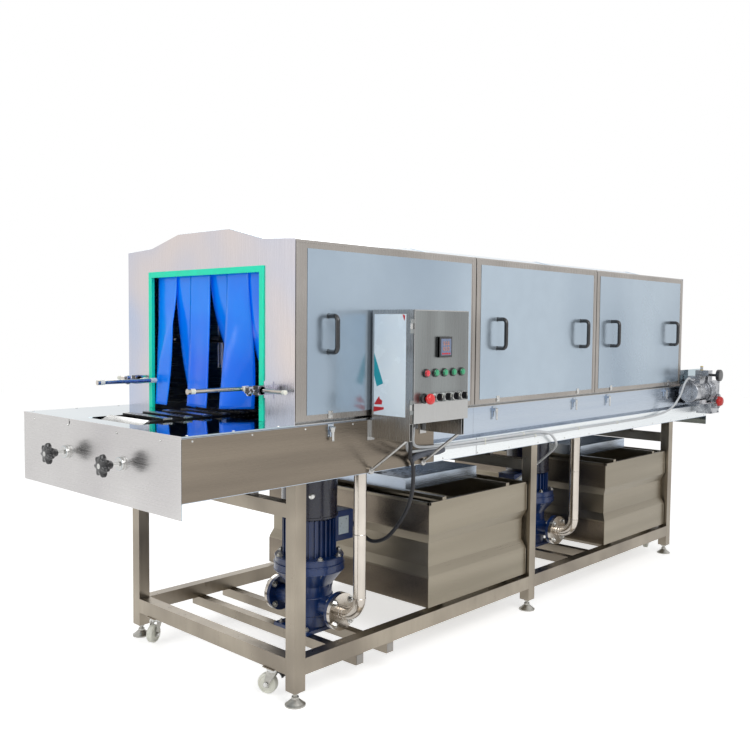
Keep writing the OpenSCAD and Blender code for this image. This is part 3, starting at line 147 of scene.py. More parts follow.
floor_mesh = bpy.data.meshes.new("floor")
floor_mesh.from_pydata([(-14, -14, 0), (14, -14, 0), (14, 14, 0), (-14, 14, 0)], [], [(0, 1, 2, 3)])
floor = bpy.data.objects.new("floor", floor_mesh)
bpy.context.collection.objects.link(floor)
pale = bpy.data.materials.new("pale_floor")
pale.use_nodes = True
paint = pale.node_tree.nodes["Principled BSDF"]
paint.inputs["Base Color"].default_value = (0.80, 0.80, 0.79, 1)
paint.inputs["Roughness"].default_value = 0.75
paint.inputs["Emission Color"].default_value = (1, 1, 1, 1)
glow = pale.node_tree.nodes.new("ShaderNodeMath")
glow.operation = "MULTIPLY_ADD"
glow.inputs[1].default_value = 0.56
glow.inputs[2].default_value = 0.06
pale.node_tree.links.new(looked_at(pale.node_tree), glow.inputs[0])
pale.node_tree.links.new(glow.outputs[0], paint.inputs["Emission Strength"])
floor_mesh.materials.append(pale)

# %% [markdown]
# One recipe serves nearly every finish. Long thin noise makes the brushing or casting grain,
# broad noise makes the clouds that sheet steel picks up from handling, and a third noise dents
# the surface a little, because a folded sheet is never flat and its reflections show it.

# %% A recipe for surfaces


def tone(r, g, b):
    return tuple(((v / 255 + 0.055) / 1.055) ** 2.4 for v in (r, g, b))


def surface(name, colour, rough, metal=0.0, grain=(60, 60, 60), spread=0.10, clouds=0.0, cloud_size=2.0,
            cloud_colour=None, cloud_shape=None, rough_spread=0.06, dents=0.0, dent_size=5.0, tooth=0.0,
            coat=0.0, shine=0.5, glow=None):
    made = bpy.data.materials.new(name)
    made.use_nodes = True
    tree = made.node_tree
    skin = tree.nodes["Principled BSDF"]
    place = tree.nodes.new("ShaderNodeTexCoord")

    def spots(scale, detail, stretch=None):
        where = place.outputs["Object"]
        if stretch:
            mapping = tree.nodes.new("ShaderNodeMapping")
            mapping.inputs["Scale"].default_value = stretch
            tree.links.new(where, mapping.inputs["Vector"])
            where = mapping.outputs[0]
        field = tree.nodes.new("ShaderNodeTexNoise")
        field.inputs["Scale"].default_value = scale
        field.inputs["Detail"].default_value = detail
        tree.links.new(where, field.inputs["Vector"])
        return field.outputs["Fac"]

    def mixed(amount, first, second):
        blend = tree.nodes.new("ShaderNodeMix")
        blend.data_type = "RGBA"
        tree.links.new(amount, blend.inputs["Factor"])
        for socket, value in ((blend.inputs["A"], first), (blend.inputs["B"], second)):
            if isinstance(value, tuple):
                socket.default_value = (*value, 1)
            else:
                tree.links.new(value, socket)
        return blend.outputs["Result"]

    def spanned(value, low, high, out_low, out_high):
        span = tree.nodes.new("ShaderNodeMapRange")
        for socket, number in zip(("From Min", "From Max", "To Min", "To Max"), (low, high, out_low, out_high)):
            span.inputs[socket].default_value = number
        tree.links.new(value, span.inputs["Value"])
        return span.outputs["Result"]

    fine = spots(1, 4, grain)
    dark = tuple(c * (1 - spread) for c in colour)
    light = tuple(min(c * (1 + spread), 1) for c in colour)
    look = mixed(spanned(fine, 0.3, 0.7, 0, 1), dark, light)
    if clouds:
        cloud = spanned(spots(cloud_size, 2, cloud_shape), 0.38, 0.68, 0, clouds)
        look = mixed(cloud, look, cloud_colour or tuple(c * 0.72 for c in colour))
    tree.links.new(look, skin.inputs["Base Color"])
    tree.links.new(spanned(fine, 0.3, 0.7, rough - rough_spread, rough + rough_spread), skin.inputs["Roughness"])
    skin.inputs["Metallic"].default_value = metal
    skin.inputs["Specular IOR Level"].default_value = shine
    # glow is emission, painted light; only the curtain uses it, for light coming through its vinyl
    if glow:
        skin.inputs["Emission Color"].default_value = (*glow, 1)
        skin.inputs["Emission Strength"].default_value = 1.0
    skin.inputs["Coat Weight"].default_value = coat
    skin.inputs["Coat Roughness"].default_value = 0.08
    relief = None
    for depth, source in ((dents, lambda: spots(dent_size, 1)), (tooth, lambda: fine)):
        if depth:
            bump = tree.nodes.new("ShaderNodeBump")
            bump.inputs["Distance"].default_value = depth
            tree.links.new(source(), bump.inputs["Height"])
            if relief:
                tree.links.new(relief, bump.inputs["Normal"])
            relief = bump.outputs["Normal"]
    if relief:
        tree.links.new(relief, skin.inputs["Normal"])
    return made


print("surface recipe ready, steel tone", [round(c, 2) for c in tone(176, 168, 158)])

# %% [markdown]
# The machine is stainless steel nearly everywhere, yet no two parts look the same: tube is
# satin and warm, the table is polished, the tanks are dull, the end face has a soft sheen.
# Each gets its own call with its grain along the way the sheet or tube was brushed. The clouds
# may be stretched too: long along a side panel, upright on the control box, as wiping leaves.

# %% Steels
ALONG_X, ALONG_Y, ALONG_Z = (6, 700, 700), (700, 6, 700), (700, 700, 6)
STREAKS_X, STREAKS_Z = (0.5, 3, 9), (7, 7, 0.5)
tube_steel = surface("tube_steel", tone(162, 153, 139), 0.33, 1, (40, 40, 8), 0.06, 0.7, 3.2, tone(118, 110, 100),
                     dents=0.0006)
side_steel = surface("side_steel", tone(190, 199, 209), 0.24, 1, ALONG_X, 0.025, 0.7, 1, tone(158, 173, 194),
                     STREAKS_X, dents=0.0016, dent_size=3)
# painted highlight: a lighter copy of the side panel's steel, for the brighter look of the skirt's low band
band_highlight_steel = surface("band_highlight_steel", tone(238, 241, 242), 0.30, 1, ALONG_X, 0.02, 0.4, 1, tone(214, 222, 228),
                     STREAKS_X)
# painted shade: a darker, warmer copy of the sheet steel, for the skins on faces that look dim
painted_shade_steel = surface("painted_shade_steel", tone(137, 127, 114), 0.30, 1, ALONG_X, 0.03, 0.7, 1, tone(106, 98, 89),
                      STREAKS_X, dents=0.0014, dent_size=3)
front_steel = surface("front_steel", tone(204, 202, 201), 0.25, 1, ALONG_Y, 0.025, 0.6, 2.6, tone(184, 181, 182),
                      dents=0.0014, dent_size=3.5)
face_steel = surface("face_steel", tone(216, 206, 203), 0.24, 1, ALONG_Z, 0.015, 0.9, 1.9, tone(180, 194, 220),
                     dents=0.0018, dent_size=2.4)
roof_steel = surface("roof_steel", tone(226, 234, 240), 0.24, 1, ALONG_X, 0.02, 0.5, 1.6, tone(198, 212, 226),
                     dents=0.0018, dent_size=2.0)
pan_steel = surface("pan_steel", tone(170, 165, 160), 0.28, 1, ALONG_Z, 0.03, 0.5, 3, tone(136, 131, 126))
polished_steel = surface("polished_steel", tone(182, 197, 204), 0.07, 1, ALONG_Y, 0.02, 0.5, 2.5,
                         tone(150, 168, 180), rough_spread=0.03, dents=0.0008, dent_size=3)
tank_steel = surface("tank_steel", tone(151, 143, 128), 0.33, 1, ALONG_X, 0.03, 0.6, 1, tone(122, 115, 101),
                     STREAKS_X, dents=0.0014, dent_size=2.6)
inner_steel = surface("inner_steel", tone(150, 147, 143), 0.42, 1, ALONG_X, 0.06, 0.5, 3, tone(112, 108, 104))
pipe_steel = surface("pipe_steel", tone(204, 197, 188), 0.20, 1, (50, 50, 6), 0.06, 0.35, 6, tone(160, 152, 142))
bright_steel = surface("bright_steel", tone(205, 205, 203), 0.16, 1, (80, 80, 80), 0.06, 0.3, 20,
                       tone(150, 150, 150))
zinc_steel = surface("zinc_steel", tone(176, 174, 168), 0.36, 1, (90, 90, 90), 0.14, 0.4, 24, tone(130, 128, 122))
chain_steel = surface("chain_steel", tone(70, 69, 68), 0.34, 1, (90, 90, 90), 0.22, 0.6, 14, tone(36, 35, 34))
slat_steel = surface("slat_steel", tone(176, 176, 174), 0.28, 1, (90, 90, 90), 0.10, 0.5, 9, tone(120, 120, 118))
box_steel = surface("box_steel", tone(183, 183, 182), 0.24, 1, ALONG_Z, 0.025, 0.4, 4, tone(170, 168, 166))
panel_steel = surface("panel_steel", tone(142, 146, 146), 0.30, 1, ALONG_Z, 0.03, 0.8, 1, tone(112, 113, 113),
                      STREAKS_Z, dents=0.0006)
print("steels made:", len([m for m in bpy.data.materials if "steel" in m.name]))

# %% [markdown]
# The other finishes: blue enamel over cast iron has a fine tooth and a glossy coat, the silver paint of the drive is
# flatter, moulded knobs are black and shiny, cable sheath is dull. The curtain is soft vinyl that lets some light
# through; a little glow mixed into its blue is painted light that stands in for it.

# %% Paint, plastic and rubber
pump_blue = surface("pump_blue", tone(8, 46, 100), 0.34, 0, (140, 140, 140), 0.16, 0.5, 9, tone(3, 24, 64),
                    tooth=0.0006, coat=0.35)
cover_blue = surface("cover_blue", tone(8, 14, 44), 0.30, 0, (60, 60, 60), 0.12, 0.4, 6, tone(4, 7, 26),
                     dents=0.0006, dent_size=12, coat=0.35)
drive_grey = surface("drive_grey", tone(184, 186, 190), 0.26, 0.9, (120, 120, 120), 0.12, 0.7, 24,
                     tone(84, 86, 94), tooth=0.0004)
cap_red = surface("cap_red", tone(214, 44, 40), 0.35, 0, (60, 60, 60), 0.08, 0.3, 30, tone(160, 24, 22))
knob_black = surface("knob_black", tone(26, 27, 30), 0.22, 0, (120, 120, 120), 0.2, 0.3, 20, tone(14, 15, 18),
                     coat=0.4)
cable_black = surface("cable_black", tone(24, 25, 30), 0.48, 0, (40, 40, 40), 0.2, 0.3, 12, tone(40, 42, 50))
sheath_grey = surface("sheath_grey", tone(206, 209, 212), 0.42, 0, (40, 40, 40), 0.04, 0.3, 12, tone(188, 192, 196))
conduit_grey = surface("conduit_grey", tone(92, 96, 106), 0.5, 0, (60, 60, 60), 0.15, 0.4, 16, tone(60, 64, 74))
trim_green = surface("trim_green", tone(0, 240, 196), 0.38, 0, (30, 30, 30), 0.04, 0.3, 5, tone(0, 226, 170))
# the curtain's glow is painted light, standing in for light coming through the vinyl
curtain_blue = surface("curtain_blue", tone(10, 136, 255), 0.2, 0, (20, 20, 4), 0.05, 0.8, 2.6, tone(0, 84, 240),
                       rough_spread=0.05, dents=0.0030, dent_size=12, coat=0.25, shine=0.3, glow=(0, 0.035, 0.16))
nylon_white = surface("nylon_white", tone(240, 240, 228), 0.4, 0, (60, 60, 60), 0.04, 0.4, 18, tone(196, 194, 178))
film_blue = surface("film_blue", tone(180, 195, 208), 0.22, 0.7, (14, 14, 14), 0.02, 0.8, 1.1, tone(140, 157, 174),
                    (1, 1, 0.7), rough_spread=0.05, dents=0.0010, dent_size=7)
box_film = surface("box_film", tone(236, 247, 255), 0.24, 0, (14, 14, 14), 0.02, 0.4, 5, tone(214, 234, 253))
tape_teal = surface("tape_teal", tone(10, 160, 176), 0.4, 0, (50, 50, 50), 0.08)
tape_red = surface("tape_red", tone(196, 24, 36), 0.4, 0, (50, 50, 50), 0.08)
lamp_red = surface("lamp_red", tone(220, 30, 54), 0.2, 0, (60, 60, 60), 0.12, coat=0.6)
lamp_green = surface("lamp_green", tone(24, 160, 108), 0.2, 0, (60, 60, 60), 0.12, coat=0.6)
stop_red = surface("stop_red", tone(226, 34, 34), 0.3, 0, (60, 60, 60), 0.10, 0.3, 40, tone(180, 20, 22), coat=0.3)
screen_grey = surface("screen_grey", tone(104, 118, 150), 0.25, 0, (60, 60, 60), 0.08, coat=0.5)
digit_orange = surface("digit_orange", tone(236, 150, 96), 0.4, 0, (60, 60, 60), 0.05)
plate_blank = surface("plate_blank", tone(190, 204, 214), 0.32, 0.5, (80, 80, 80), 0.06)
gear_plastic = surface("gear_plastic", tone(196, 198, 196), 0.45, 0, (80, 80, 80), 0.08, 0.3, 20, tone(120, 122, 124))
brass = surface("brass", tone(196, 178, 120), 0.3, 1, (90, 90, 90), 0.1)
print("finishes in all:", len(bpy.data.materials))

# %% [markdown]
# CAD shapes that already look right are kept, and only get their finish. A thin bevel goes on
# the simple ones: folded sheet and drawn tube never have a knife edge, and the small rounding
# is what catches the light along every corner of the real machine.

# %% Finishes for the CAD shapes
KEPT = {
    tube_steel: ["legs", "frame_rails", "cross_beams"],
    side_steel: ["side_skirts", "filter_tray_1", "filter_tray_2"],
    face_steel: ["end_faces"],
    roof_steel: ["tunnel_cover"],
    polished_steel: ["table_plates"],
    tank_steel: ["water_tanks"],
    inner_steel: ["drain_trough", "conveyor_frame", "immersion_heaters", "pump_rotor_1", "pump_rotor_2"],
    pipe_steel: ["pipework", "guide_rail_1", "guide_rail_2"],
    bright_steel: ["latch_%d" % i for i in range(1, 7)] + ["drive_shaft", "idler_shaft"],
    zinc_steel: ["levelling_feet"] + ["castor_fork_%d" % i for i in range(1, 5)],
    chain_steel: ["conveyor_chain"],
    pump_blue: ["pump_heads", "pump_motors"],
    cover_blue: ["pump_fan_covers"],
    drive_grey: ["gearmotor"],
    box_steel: ["control_box", "box_bracket", "door_frame"],
    panel_steel: ["control_door"],
    gear_plastic: ["switchgear"],
    knob_black: ["panel_instruments", "speed_handwheel"] + ["selector_%d" % i for i in range(1, 5)],
    nylon_white: ["castor_wheel_%d" % i for i in range(1, 5)],
    trim_green: ["opening_trims"],
    curtain_blue: ["strip_curtains"],
    cable_black: ["cables"],
    stop_red: ["emergency_stop"],
}
for finish, names in KEPT.items():
    for name in names:
        shape = nodes[name]
        if not shape.material_slots:
            shape.data.materials.append(finish)
        for place_for_it in shape.material_slots:
            place_for_it.material = finish
ROUNDED = {"legs": 3.0, "frame_rails": 3.0, "cross_beams": 2.5, "box_bracket": 1.5, "water_tanks": 0.8,
           "control_box": 1.5, "control_door": 1.0, "table_plates": 0.8}
for name, radius in ROUNDED.items():
    rounding = nodes[name].modifiers.new("rounding", "BEVEL")
    rounding.width = radius / 1000
    rounding.segments = 2
    rounding.limit_method = "ANGLE"
    rounding.angle_limit = math.radians(50)
print("CAD shapes finished:", sum(len(v) for v in KEPT.values()))

# %% [markdown]
# New pieces are put together from a few maker's operations: a block from stock, a turned part, a bent rod, a cut
# profile, a bolt head. A small class collects them in one mesh, so a piece with forty bolts is still one object. It
# rides on a body.

# %% A workbench for new pieces


def square_to(axis):
    along = Vector(axis).normalized()
    side = along.orthogonal().normalized()
    return side, along.cross(side), along


class Piece:
    def __init__(self, name):
        self.name = name
        self.work = bmesh.new()

    def add(self, points, faces):
        corners = [self.work.verts.new(at(*p)) for p in points]
        for face in faces:
            self.work.faces.new([corners[i] for i in face])

    def block(self, low, high):
        (a, b, c), (d, e, f) = low, high
        points = [(a, b, c), (d, b, c), (d, e, c), (a, e, c), (a, b, f), (d, b, f), (d, e, f), (a, e, f)]
        self.add(points, [(3, 2, 1, 0), (4, 5, 6, 7), (0, 1, 5, 4), (1, 2, 6, 5), (2, 3, 7, 6), (3, 0, 4, 7)])

    def turned(self, start, axis, profile, sides=32):
        u, v, w = square_to(axis)
        start = Vector(start)
        points, rings, faces = [], [], []
        for along, radius in profile:
            count = 1 if radius == 0 else sides
            rings.append((len(points), count))
            for k in range(count):
                a = 2 * math.pi * k / sides
                points.append(start + w * along + (u * math.cos(a) + v * math.sin(a)) * radius)
        for (i, n), (j, m) in zip(rings, rings[1:]):
            for k in range(sides):
                quad = [i + k % n, i + (k + 1) % n, j + (k + 1) % m, j + k % m]
                faces.append([q for n_, q in enumerate(quad) if q not in quad[:n_]])
        for (i, n), flip in ((rings[0], True), (rings[-1], False)):
            if n > 1:
                cap = list(range(i, i + n))
                faces.append(cap[::-1] if flip else cap)
        self.add(points, faces)

    def rod(self, a, b, radius, sides=24):
        reach = Vector(b) - Vector(a)
        self.turned(a, reach, [(0, radius), (reach.length, radius)], sides)

    def profile(self, outline, axis, low, high):
        spread = {"x": lambda s, p, q: (s, p, q), "y": lambda s, p, q: (p, s, q), "z": lambda s, p, q: (p, q, s)}
        n = len(outline)
        points = [spread[axis](s, p, q) for s in (low, high) for p, q in outline]
        faces = [list(range(n))[::-1], list(range(n, 2 * n))]
        faces += [(k, (k + 1) % n, n + (k + 1) % n, n + k) for k in range(n)]
        self.add(points, faces)

    def bent(self, path, radius, sides=14):
        path = [Vector(p) for p in path]
        side = square_to(path[1] - path[0])[0]
        points, faces = [], []
        for i, p in enumerate(path):
            ahead_ = (path[min(i + 1, len(path) - 1)] - path[max(i - 1, 0)]).normalized()
            side = (side - ahead_ * side.dot(ahead_)).normalized()
            other = ahead_.cross(side)
            size = radius(i) if callable(radius) else radius
            for k in range(sides):
                a = 2 * math.pi * k / sides
                points.append(p + (side * math.cos(a) + other * math.sin(a)) * size)
        for i in range(len(path) - 1):
            for k in range(sides):
                m = (k + 1) % sides
                faces.append((i * sides + k, i * sides + m, (i + 1) * sides + m, (i + 1) * sides + k))
        faces += [list(range(sides))[::-1], list(range((len(path) - 1) * sides, len(path) * sides))]
        self.add(points, faces)

    def bolt(self, place, axis, across=13.0, washer=True):
        if washer:
            self.turned(place, axis, [(0, across * 0.85), (1.6, across * 0.85)], 20)
        self.turned(Vector(place) + Vector(axis).normalized() * 1.6, axis,
                    [(0, across * 0.577), (across * 0.42, across * 0.577), (across * 0.5, across * 0.48)], 6)
        self.turned(Vector(place) + Vector(axis).normalized() * 2, axis,
                    [(0, across * 0.3), (across * 0.62, across * 0.3), (across * 0.7, across * 0.22)], 12)

    def made(self, body, finish, slot, rounding=0.0, smooth=40):
        bmesh.ops.recalc_face_normals(self.work, faces=self.work.faces)
        mesh = bpy.data.meshes.new(self.name)
        self.work.to_mesh(mesh)
        self.work.free()
        mesh.materials.append(finish)
        mesh.shade_smooth()
        mesh.set_sharp_from_angle(angle=math.radians(smooth))
        piece = bpy.data.objects.new(self.name, mesh)
        bpy.context.collection.objects.link(piece)
        if rounding:
            edge = piece.modifiers.new("rounding", "BEVEL")
            edge.width = rounding / 1000
            edge.segments = 3
            edge.limit_method = "ANGLE"
            edge.angle_limit = math.radians(40)
        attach(piece, body)
        print("made", self.name, len(mesh.polygons), "faces, rides on", body)
        return piece


# %% [markdown]
# The three doors are shallow pans folded from sheet, hooked over a rod by their rolled top
# edge. The outline of the fold is drawn once, seen from the end, and run along the door. The
# end returns are separate plates, as they are on the real pan, where they are welded in.

# %% Door pans
TUNNEL, HALF, TABLE, SHOULDER = 3100.0, 530.0, 1007.0, 1649.0
DOOR_PITCH, DOOR_DEPTH = TUNNEL / 3, 25.0
ROD_Y, ROD_Z = -HALF + DOOR_DEPTH / 2, SHOULDER - DOOR_DEPTH / 2
door_ends = [(max(i * DOOR_PITCH + 3, 6), min((i + 1) * DOOR_PITCH - 3, TUNNEL - 6)) for i in range(3)]
roll = [(ROD_Y + r * math.cos(a), ROD_Z + r * math.sin(a))
        for r, steps in ((12.5, range(18, -1, -1)), (10.7, range(0, 19)))
        for a in (math.pi * s / 18 for s in steps)]
pan_fold = [(-HALF, TABLE + 10), (-HALF, ROD_Z)] + roll[:19] + roll[19:] + [
    (-HALF + 1.8, ROD_Z), (-HALF + 1.8, TABLE + 11.8), (-HALF + DOOR_DEPTH - 1.8, TABLE + 11.8),
    (-HALF + DOOR_DEPTH - 1.8, TABLE + 26), (-HALF + DOOR_DEPTH, TABLE + 26), (-HALF + DOOR_DEPTH, TABLE + 10)]
for i, (x0, x1) in enumerate(door_ends):
    pan = Piece("door_pan_%d" % (i + 1))
    pan.profile(pan_fold, "x", x0, x1)
    for x in (x0, x1 - 1.8):
        pan.block((x, -HALF + 1, TABLE + 11), (x + 1.8, -HALF + DOOR_DEPTH, ROD_Z - 40))
    for x in (x0 + 0.5, x1 - 22.5):
        pan.block((x, -HALF - 1.4, TABLE + 11), (x + 22, -HALF + 0.5, SHOULDER - 14))
    made = pan.made("door_%d" % (i + 1), pan_steel, "door_steel", 0.6)
    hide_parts("door_%d" % (i + 1))

# %% [markdown]
# The doors still wear their protective film. It is pressed on flat, and has crept into long
# low wrinkles. A fine grid pushed out by smooth noise gives them, and the push fades to nothing
# at the film's edge, so that it stays stuck down there.

# %% Protective film on the doors


def wrinkled(name, x0, x1, z0, z1, y, body, finish, slot, height=1.2, step=14.0):
    columns, rows = int((x1 - x0) / step), int((z1 - z0) / step)
    points, faces = [], []
    for r in range(rows + 1):
        for c in range(columns + 1):
            u, v = c / columns, r / rows
            x, z = x0 + (x1 - x0) * u, z0 + (z1 - z0) * v
            hold = min(1, 8 * min(u, 1 - u), 8 * min(v, 1 - v))
            slope = noise.noise(Vector((x / 260 + z / 700, z / 900, i * 3.1)))
            crease = max(0.0, noise.noise(Vector((x / 90 + z / 60, z / 500 - x / 800, 7.7))) - 0.15)
            points.append((x, y - 0.4 - hold * height * (0.5 + 0.5 * slope + 1.2 * crease), z))
    for r in range(rows):
        for c in range(columns):
            k = r * (columns + 1) + c
            faces.append((k, k + 1, k + columns + 2, k + columns + 1))
    sheet = Piece(name)
    sheet.add(points, faces)
    return sheet.made(body, finish, slot)


for i, (x0, x1) in enumerate(door_ends):
    left = 52 if i == 0 else 32
    wrinkled("door_film_%d" % (i + 1), x0 + left, x1 - 32, TABLE + 30, SHOULDER - 30, -HALF - 0.6,
             "door_%d" % (i + 1), film_blue, "door_steel")

# %% [markdown]
# Each door has two black bow handles. A bow is one bar with two tight bends, so it is swept along a path: a short leg
# out of the door, a quarter bend, the grip, and back. Round feet spread the load.

# %% Door handles
HANDLE_Z, HANDLE_OUT, HANDLE_R = TABLE + 315, 48.0, 9.0


def bow(x, y0, out, z_low, z_high, bend=18):
    legs = [(x, y0, z_low), (x, y0 - (out - bend) * 0.5, z_low)]
    low = [(x, y0 - out + bend - bend * math.sin(a), z_low + bend - bend * math.cos(a))
           for a in (math.pi / 2 * s / 6 for s in range(7))]
    high = [(x, y, z_low + z_high - z) for x, y, z in reversed(low)]
    return legs + low + [(x, y0 - out, (z_low + z_high) / 2)] + high + [
        (x, y0 - (out - bend) * 0.5, z_high), (x, y0, z_high)]


for i in range(3):
    grips = Piece("door_handles_%d" % (i + 1))
    for side in (-1, 1):
        x = (i + 0.5) * DOOR_PITCH + side * 357
        grips.bent(bow(x, -HALF - 2, HANDLE_OUT - 2, HANDLE_Z - 64, HANDLE_Z + 64), HANDLE_R)
        for z in (HANDLE_Z - 64, HANDLE_Z + 64):
            grips.turned((x, -HALF + 0.5, z), (0, -1, 0), [(0, 10), (2.5, 10), (3.5, 9)], 28)
    grips.made("door_%d" % (i + 1), knob_black, "door_steel")

# %% [markdown]
# Two toggle latches hold each door's foot. The lever hangs on a pin in the skirt and its hook
# pulls on a small keeper riveted to the door. The keeper rides with the door and the spring
# plate with the lever, so they part when the latch is thrown.

# %% Latch keepers, hooks and base plates


def latch_x(i):
    return DOOR_PITCH * (i // 2 + 0.5) + (i % 2 - 0.5) * 690


def panel_y(x):
    return -HALF if x < 760 else -HALF + 18


bases = Piece("latch_bases")
for i in range(6):
    x, y = latch_x(i), panel_y(latch_x(i))
    keeper = Piece("latch_keeper_%d" % (i + 1))
    keeper.block((x - 11, -HALF - 2.6, TABLE + 14), (x + 11, -HALF - 1.5, TABLE + 40))
    keeper.block((x - 8, -HALF - 6, TABLE + 20), (x + 8, -HALF - 2.2, TABLE + 24))
    for dz in (18, 35):
        keeper.turned((x, -HALF - 2.4, TABLE + dz), (0, -1, 0), [(0, 2.4), (1.2, 1.8), (1.5, 0)], 14)
    keeper.made("door_%d" % (i // 2 + 1), bright_steel, "latch_steel", 0.3)
    lever = Piece("latch_lever_%d" % (i + 1))
    lever.block((x - 5.2, y - 16.6, 985 - 45), (x + 5.2, y - 15.4, 985 - 8))
    lever.rod((x - 5.5, y - 16, 940), (x + 5.5, y - 16, 940), 2.2, 14)
    lever.made("latch_%d" % (i + 1), bright_steel, "latch_steel", 0.3)
    for dx in (-9, 9):
        for dz in (-26, 9):
            bases.turned((x + dx, y - 3.8, 985 + dz), (0, -1, 0), [(0, 2.6), (1.2, 2.0), (1.6, 0)], 14)
bases.made("machine", bright_steel, "sheet_steel")

# %% [markdown]
# The mouth is edged with a bright green rubber section that grips the sheet. It is a channel
# bent round three sides, so its outline is a gate shape, run a few millimetres along the
# machine, and a generous rounding turns the square section into a soft bead.

# %% Rubber edging of the mouths
MOUTH, MOUTH_TOP = 345.0, TABLE + 533


def gate(inner, outer, foot):
    return [(-outer, foot), (-outer, MOUTH_TOP + outer - MOUTH), (outer, MOUTH_TOP + outer - MOUTH), (outer, foot),
            (inner, foot), (inner, MOUTH_TOP + inner - MOUTH), (-inner, MOUTH_TOP + inner - MOUTH), (-inner, foot)]


for name, x, out in (("mouth_edging_infeed", 0.0, -1), ("mouth_edging_outfeed", TUNNEL, 1)):
    edging = Piece(name)
    edging.profile(gate(MOUTH, MOUTH + 23, TABLE), "x", *sorted((x + out * 6, x - out * 0.1)))
    edging.profile(gate(MOUTH, MOUTH + 13, TABLE), "x", *sorted((x - out * 2.9, x - out * 8.9)))
    edging.profile(gate(MOUTH, MOUTH + 7, TABLE), "x", *sorted((x, x - out * 3)))
    edging = edging.made("machine", trim_green, "trim_rubber", 1.8)
    if out < 0:
        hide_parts("opening_trims")

# %% [markdown]
# Vinyl strips hang in both mouths to keep the spray in. A strip is flat where it is clamped
# and free below, so it twists, leans and curls more the further down it is. Each gets its own
# few numbers for that, and two smooth noise terms, which cost nothing and give the same result
# every time. The numbers for the infeed follow how its strips hang in the photograph.

# %% Strip curtains
STRIP_W, STRIP_TOP, STRIP_FOOT = 130.0, TABLE + 533 + 40, TABLE + 16
# middle, layer, lean across, lean along, twist in degrees, pinned edge, shortening
INFEED_HANG = [(277, 27.5, 0, -10, 50, 1, 0), (166, 35.5, -14, -14, 28, -1, 0), (55, 27.5, 2, -8, -8, -1, 6),
               (-55, 43.5, -6, 16, 42, -1, 140), (-180, 27.5, 20, -26, -46, 1, 10), (-277, 33.5, 0, -5, 58, -1, 0)]
OUTFEED_HANG = [(277, 27.5, 6, 10, -14, -1, 0), (166, 35.5, -8, -18, 12, 1, 4), (55, 27.5, 10, 8, -10, -1, 8),
                (-55, 35.5, -6, -12, 16, 1, 2), (-166, 27.5, 8, 14, -18, -1, 0), (-277, 35.5, -10, 4, 12, 1, 6)]


def strip_point(centre, layer, hang, u, t):
    across, along, twist, pinned, short = hang
    fall = (STRIP_TOP - STRIP_FOOT - short) * t
    ease = max(0.0, (t - 0.08) / 0.92) ** 1.6
    turn = math.radians(twist) * ease
    edge = (u - 0.5) * STRIP_W
    from_pin = edge - pinned * STRIP_W / 2
    curl = 10 * ease * math.sin(u * math.pi * 1.2 + centre) + 5 * ease * noise.noise(Vector((centre, u * 2, t * 4)))
    y = centre + pinned * STRIP_W / 2 + from_pin * math.cos(turn) + across * ease
    x = layer + from_pin * math.sin(turn) + along * ease * t + curl
    return x, y, STRIP_TOP - fall


def hang_strip(name, end, centre, layer, *hang):
    strip = Piece(name)
    columns, rows = 10, 44
    points = []
    for r in range(rows + 1):
        for c in range(columns + 1):
            x, y, z = strip_point(centre, layer, hang, c / columns, r / rows)
            x = max(x, 7.0 if z < MOUTH_TOP else 25.0)
            points.append((x if end == 0 else TUNNEL - x, y, z))
    strip.add(points, [(k, k + 1, k + columns + 2, k + columns + 1)
                       for r in range(rows) for k in range(r * (columns + 1), r * (columns + 1) + columns)])
    piece = strip.made("machine", curtain_blue, "curtain_vinyl")
    body = piece.modifiers.new("thickness", "SOLIDIFY")
    body.thickness = 0.0026
    body.offset = 0
    return piece


for end, hangs in enumerate((INFEED_HANG, OUTFEED_HANG)):
    for number, hang in enumerate(hangs):
        strip = hang_strip("curtain_%s_%d" % ("infeed" if end == 0 else "outfeed", number + 1), end, *hang)
        if end == 0 and number == 0:
            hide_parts("strip_curtains")

# %% [markdown]
# The infeed table is a polished lid on a deep folded tray. Its front is a separate plate, so a
# lip and a row of small screws run along the edge, with a short seam beside the slot. Where
# the mesh of the CAD plate would need a second finish, a thin skin is laid over it instead.

# %% Front and end plates
skin = Piece("front_skin")
skin.block((-461.2, -HALF, TABLE - 262), (-459.8, HALF, TABLE - 8))
skin.block((-461.8, -HALF - 0.6, TABLE - 9), (-459.5, HALF + 0.6, TABLE + 0.8))
skin.block((3499.8, -HALF, TABLE - 262), (3501.2, HALF, TABLE - 8))
skin.made("machine", front_steel, "table_steel", 0.5)
trims = Piece("table_screws")
for y in (-430, -168, 168, 430):
    trims.turned((-461.5, y + 14, TABLE - 22), (-1, 0, 0), [(0, 4.6), (2.2, 4.0), (3.2, 0)], 16)
for x in (-430, -250, -60):
    for y in (-HALF + 14, HALF - 14):
        trims.turned((x, y, TABLE), (0, 0, 1), [(0, 5), (1.6, 4.2), (2.2, 0)], 16)
for x in (3140, 3300, 3460):
    for y in (-HALF + 14, HALF - 14):
        trims.turned((x, y, TABLE), (0, 0, 1), [(0, 5), (1.6, 4.2), (2.2, 0)], 16)
trims.made("machine", bright_steel, "table_steel")
seam = Piece("front_seam")
seam.block((-462.2, 168.5, TABLE - 20), (-461.0, 170.5, TABLE - 1))
seam.block((-460, -HALF - 0.5, TABLE - 210), (-459, -HALF - 0.1, TABLE - 8))
seam.made("machine", chain_steel, "table_steel")

# %% [markdown]
# Two screws behind the front plate pull the idler shaft forward and keep the chain tight. Each
# has a seven-lobed knob. The lobes come from a wavy radius, which is rounder than seven
# cylinders round a hub, and the section swells and closes again like a moulding.

# %% Tension screws
KNOB_Z, KNOB_Y = TABLE - 121, 189.0


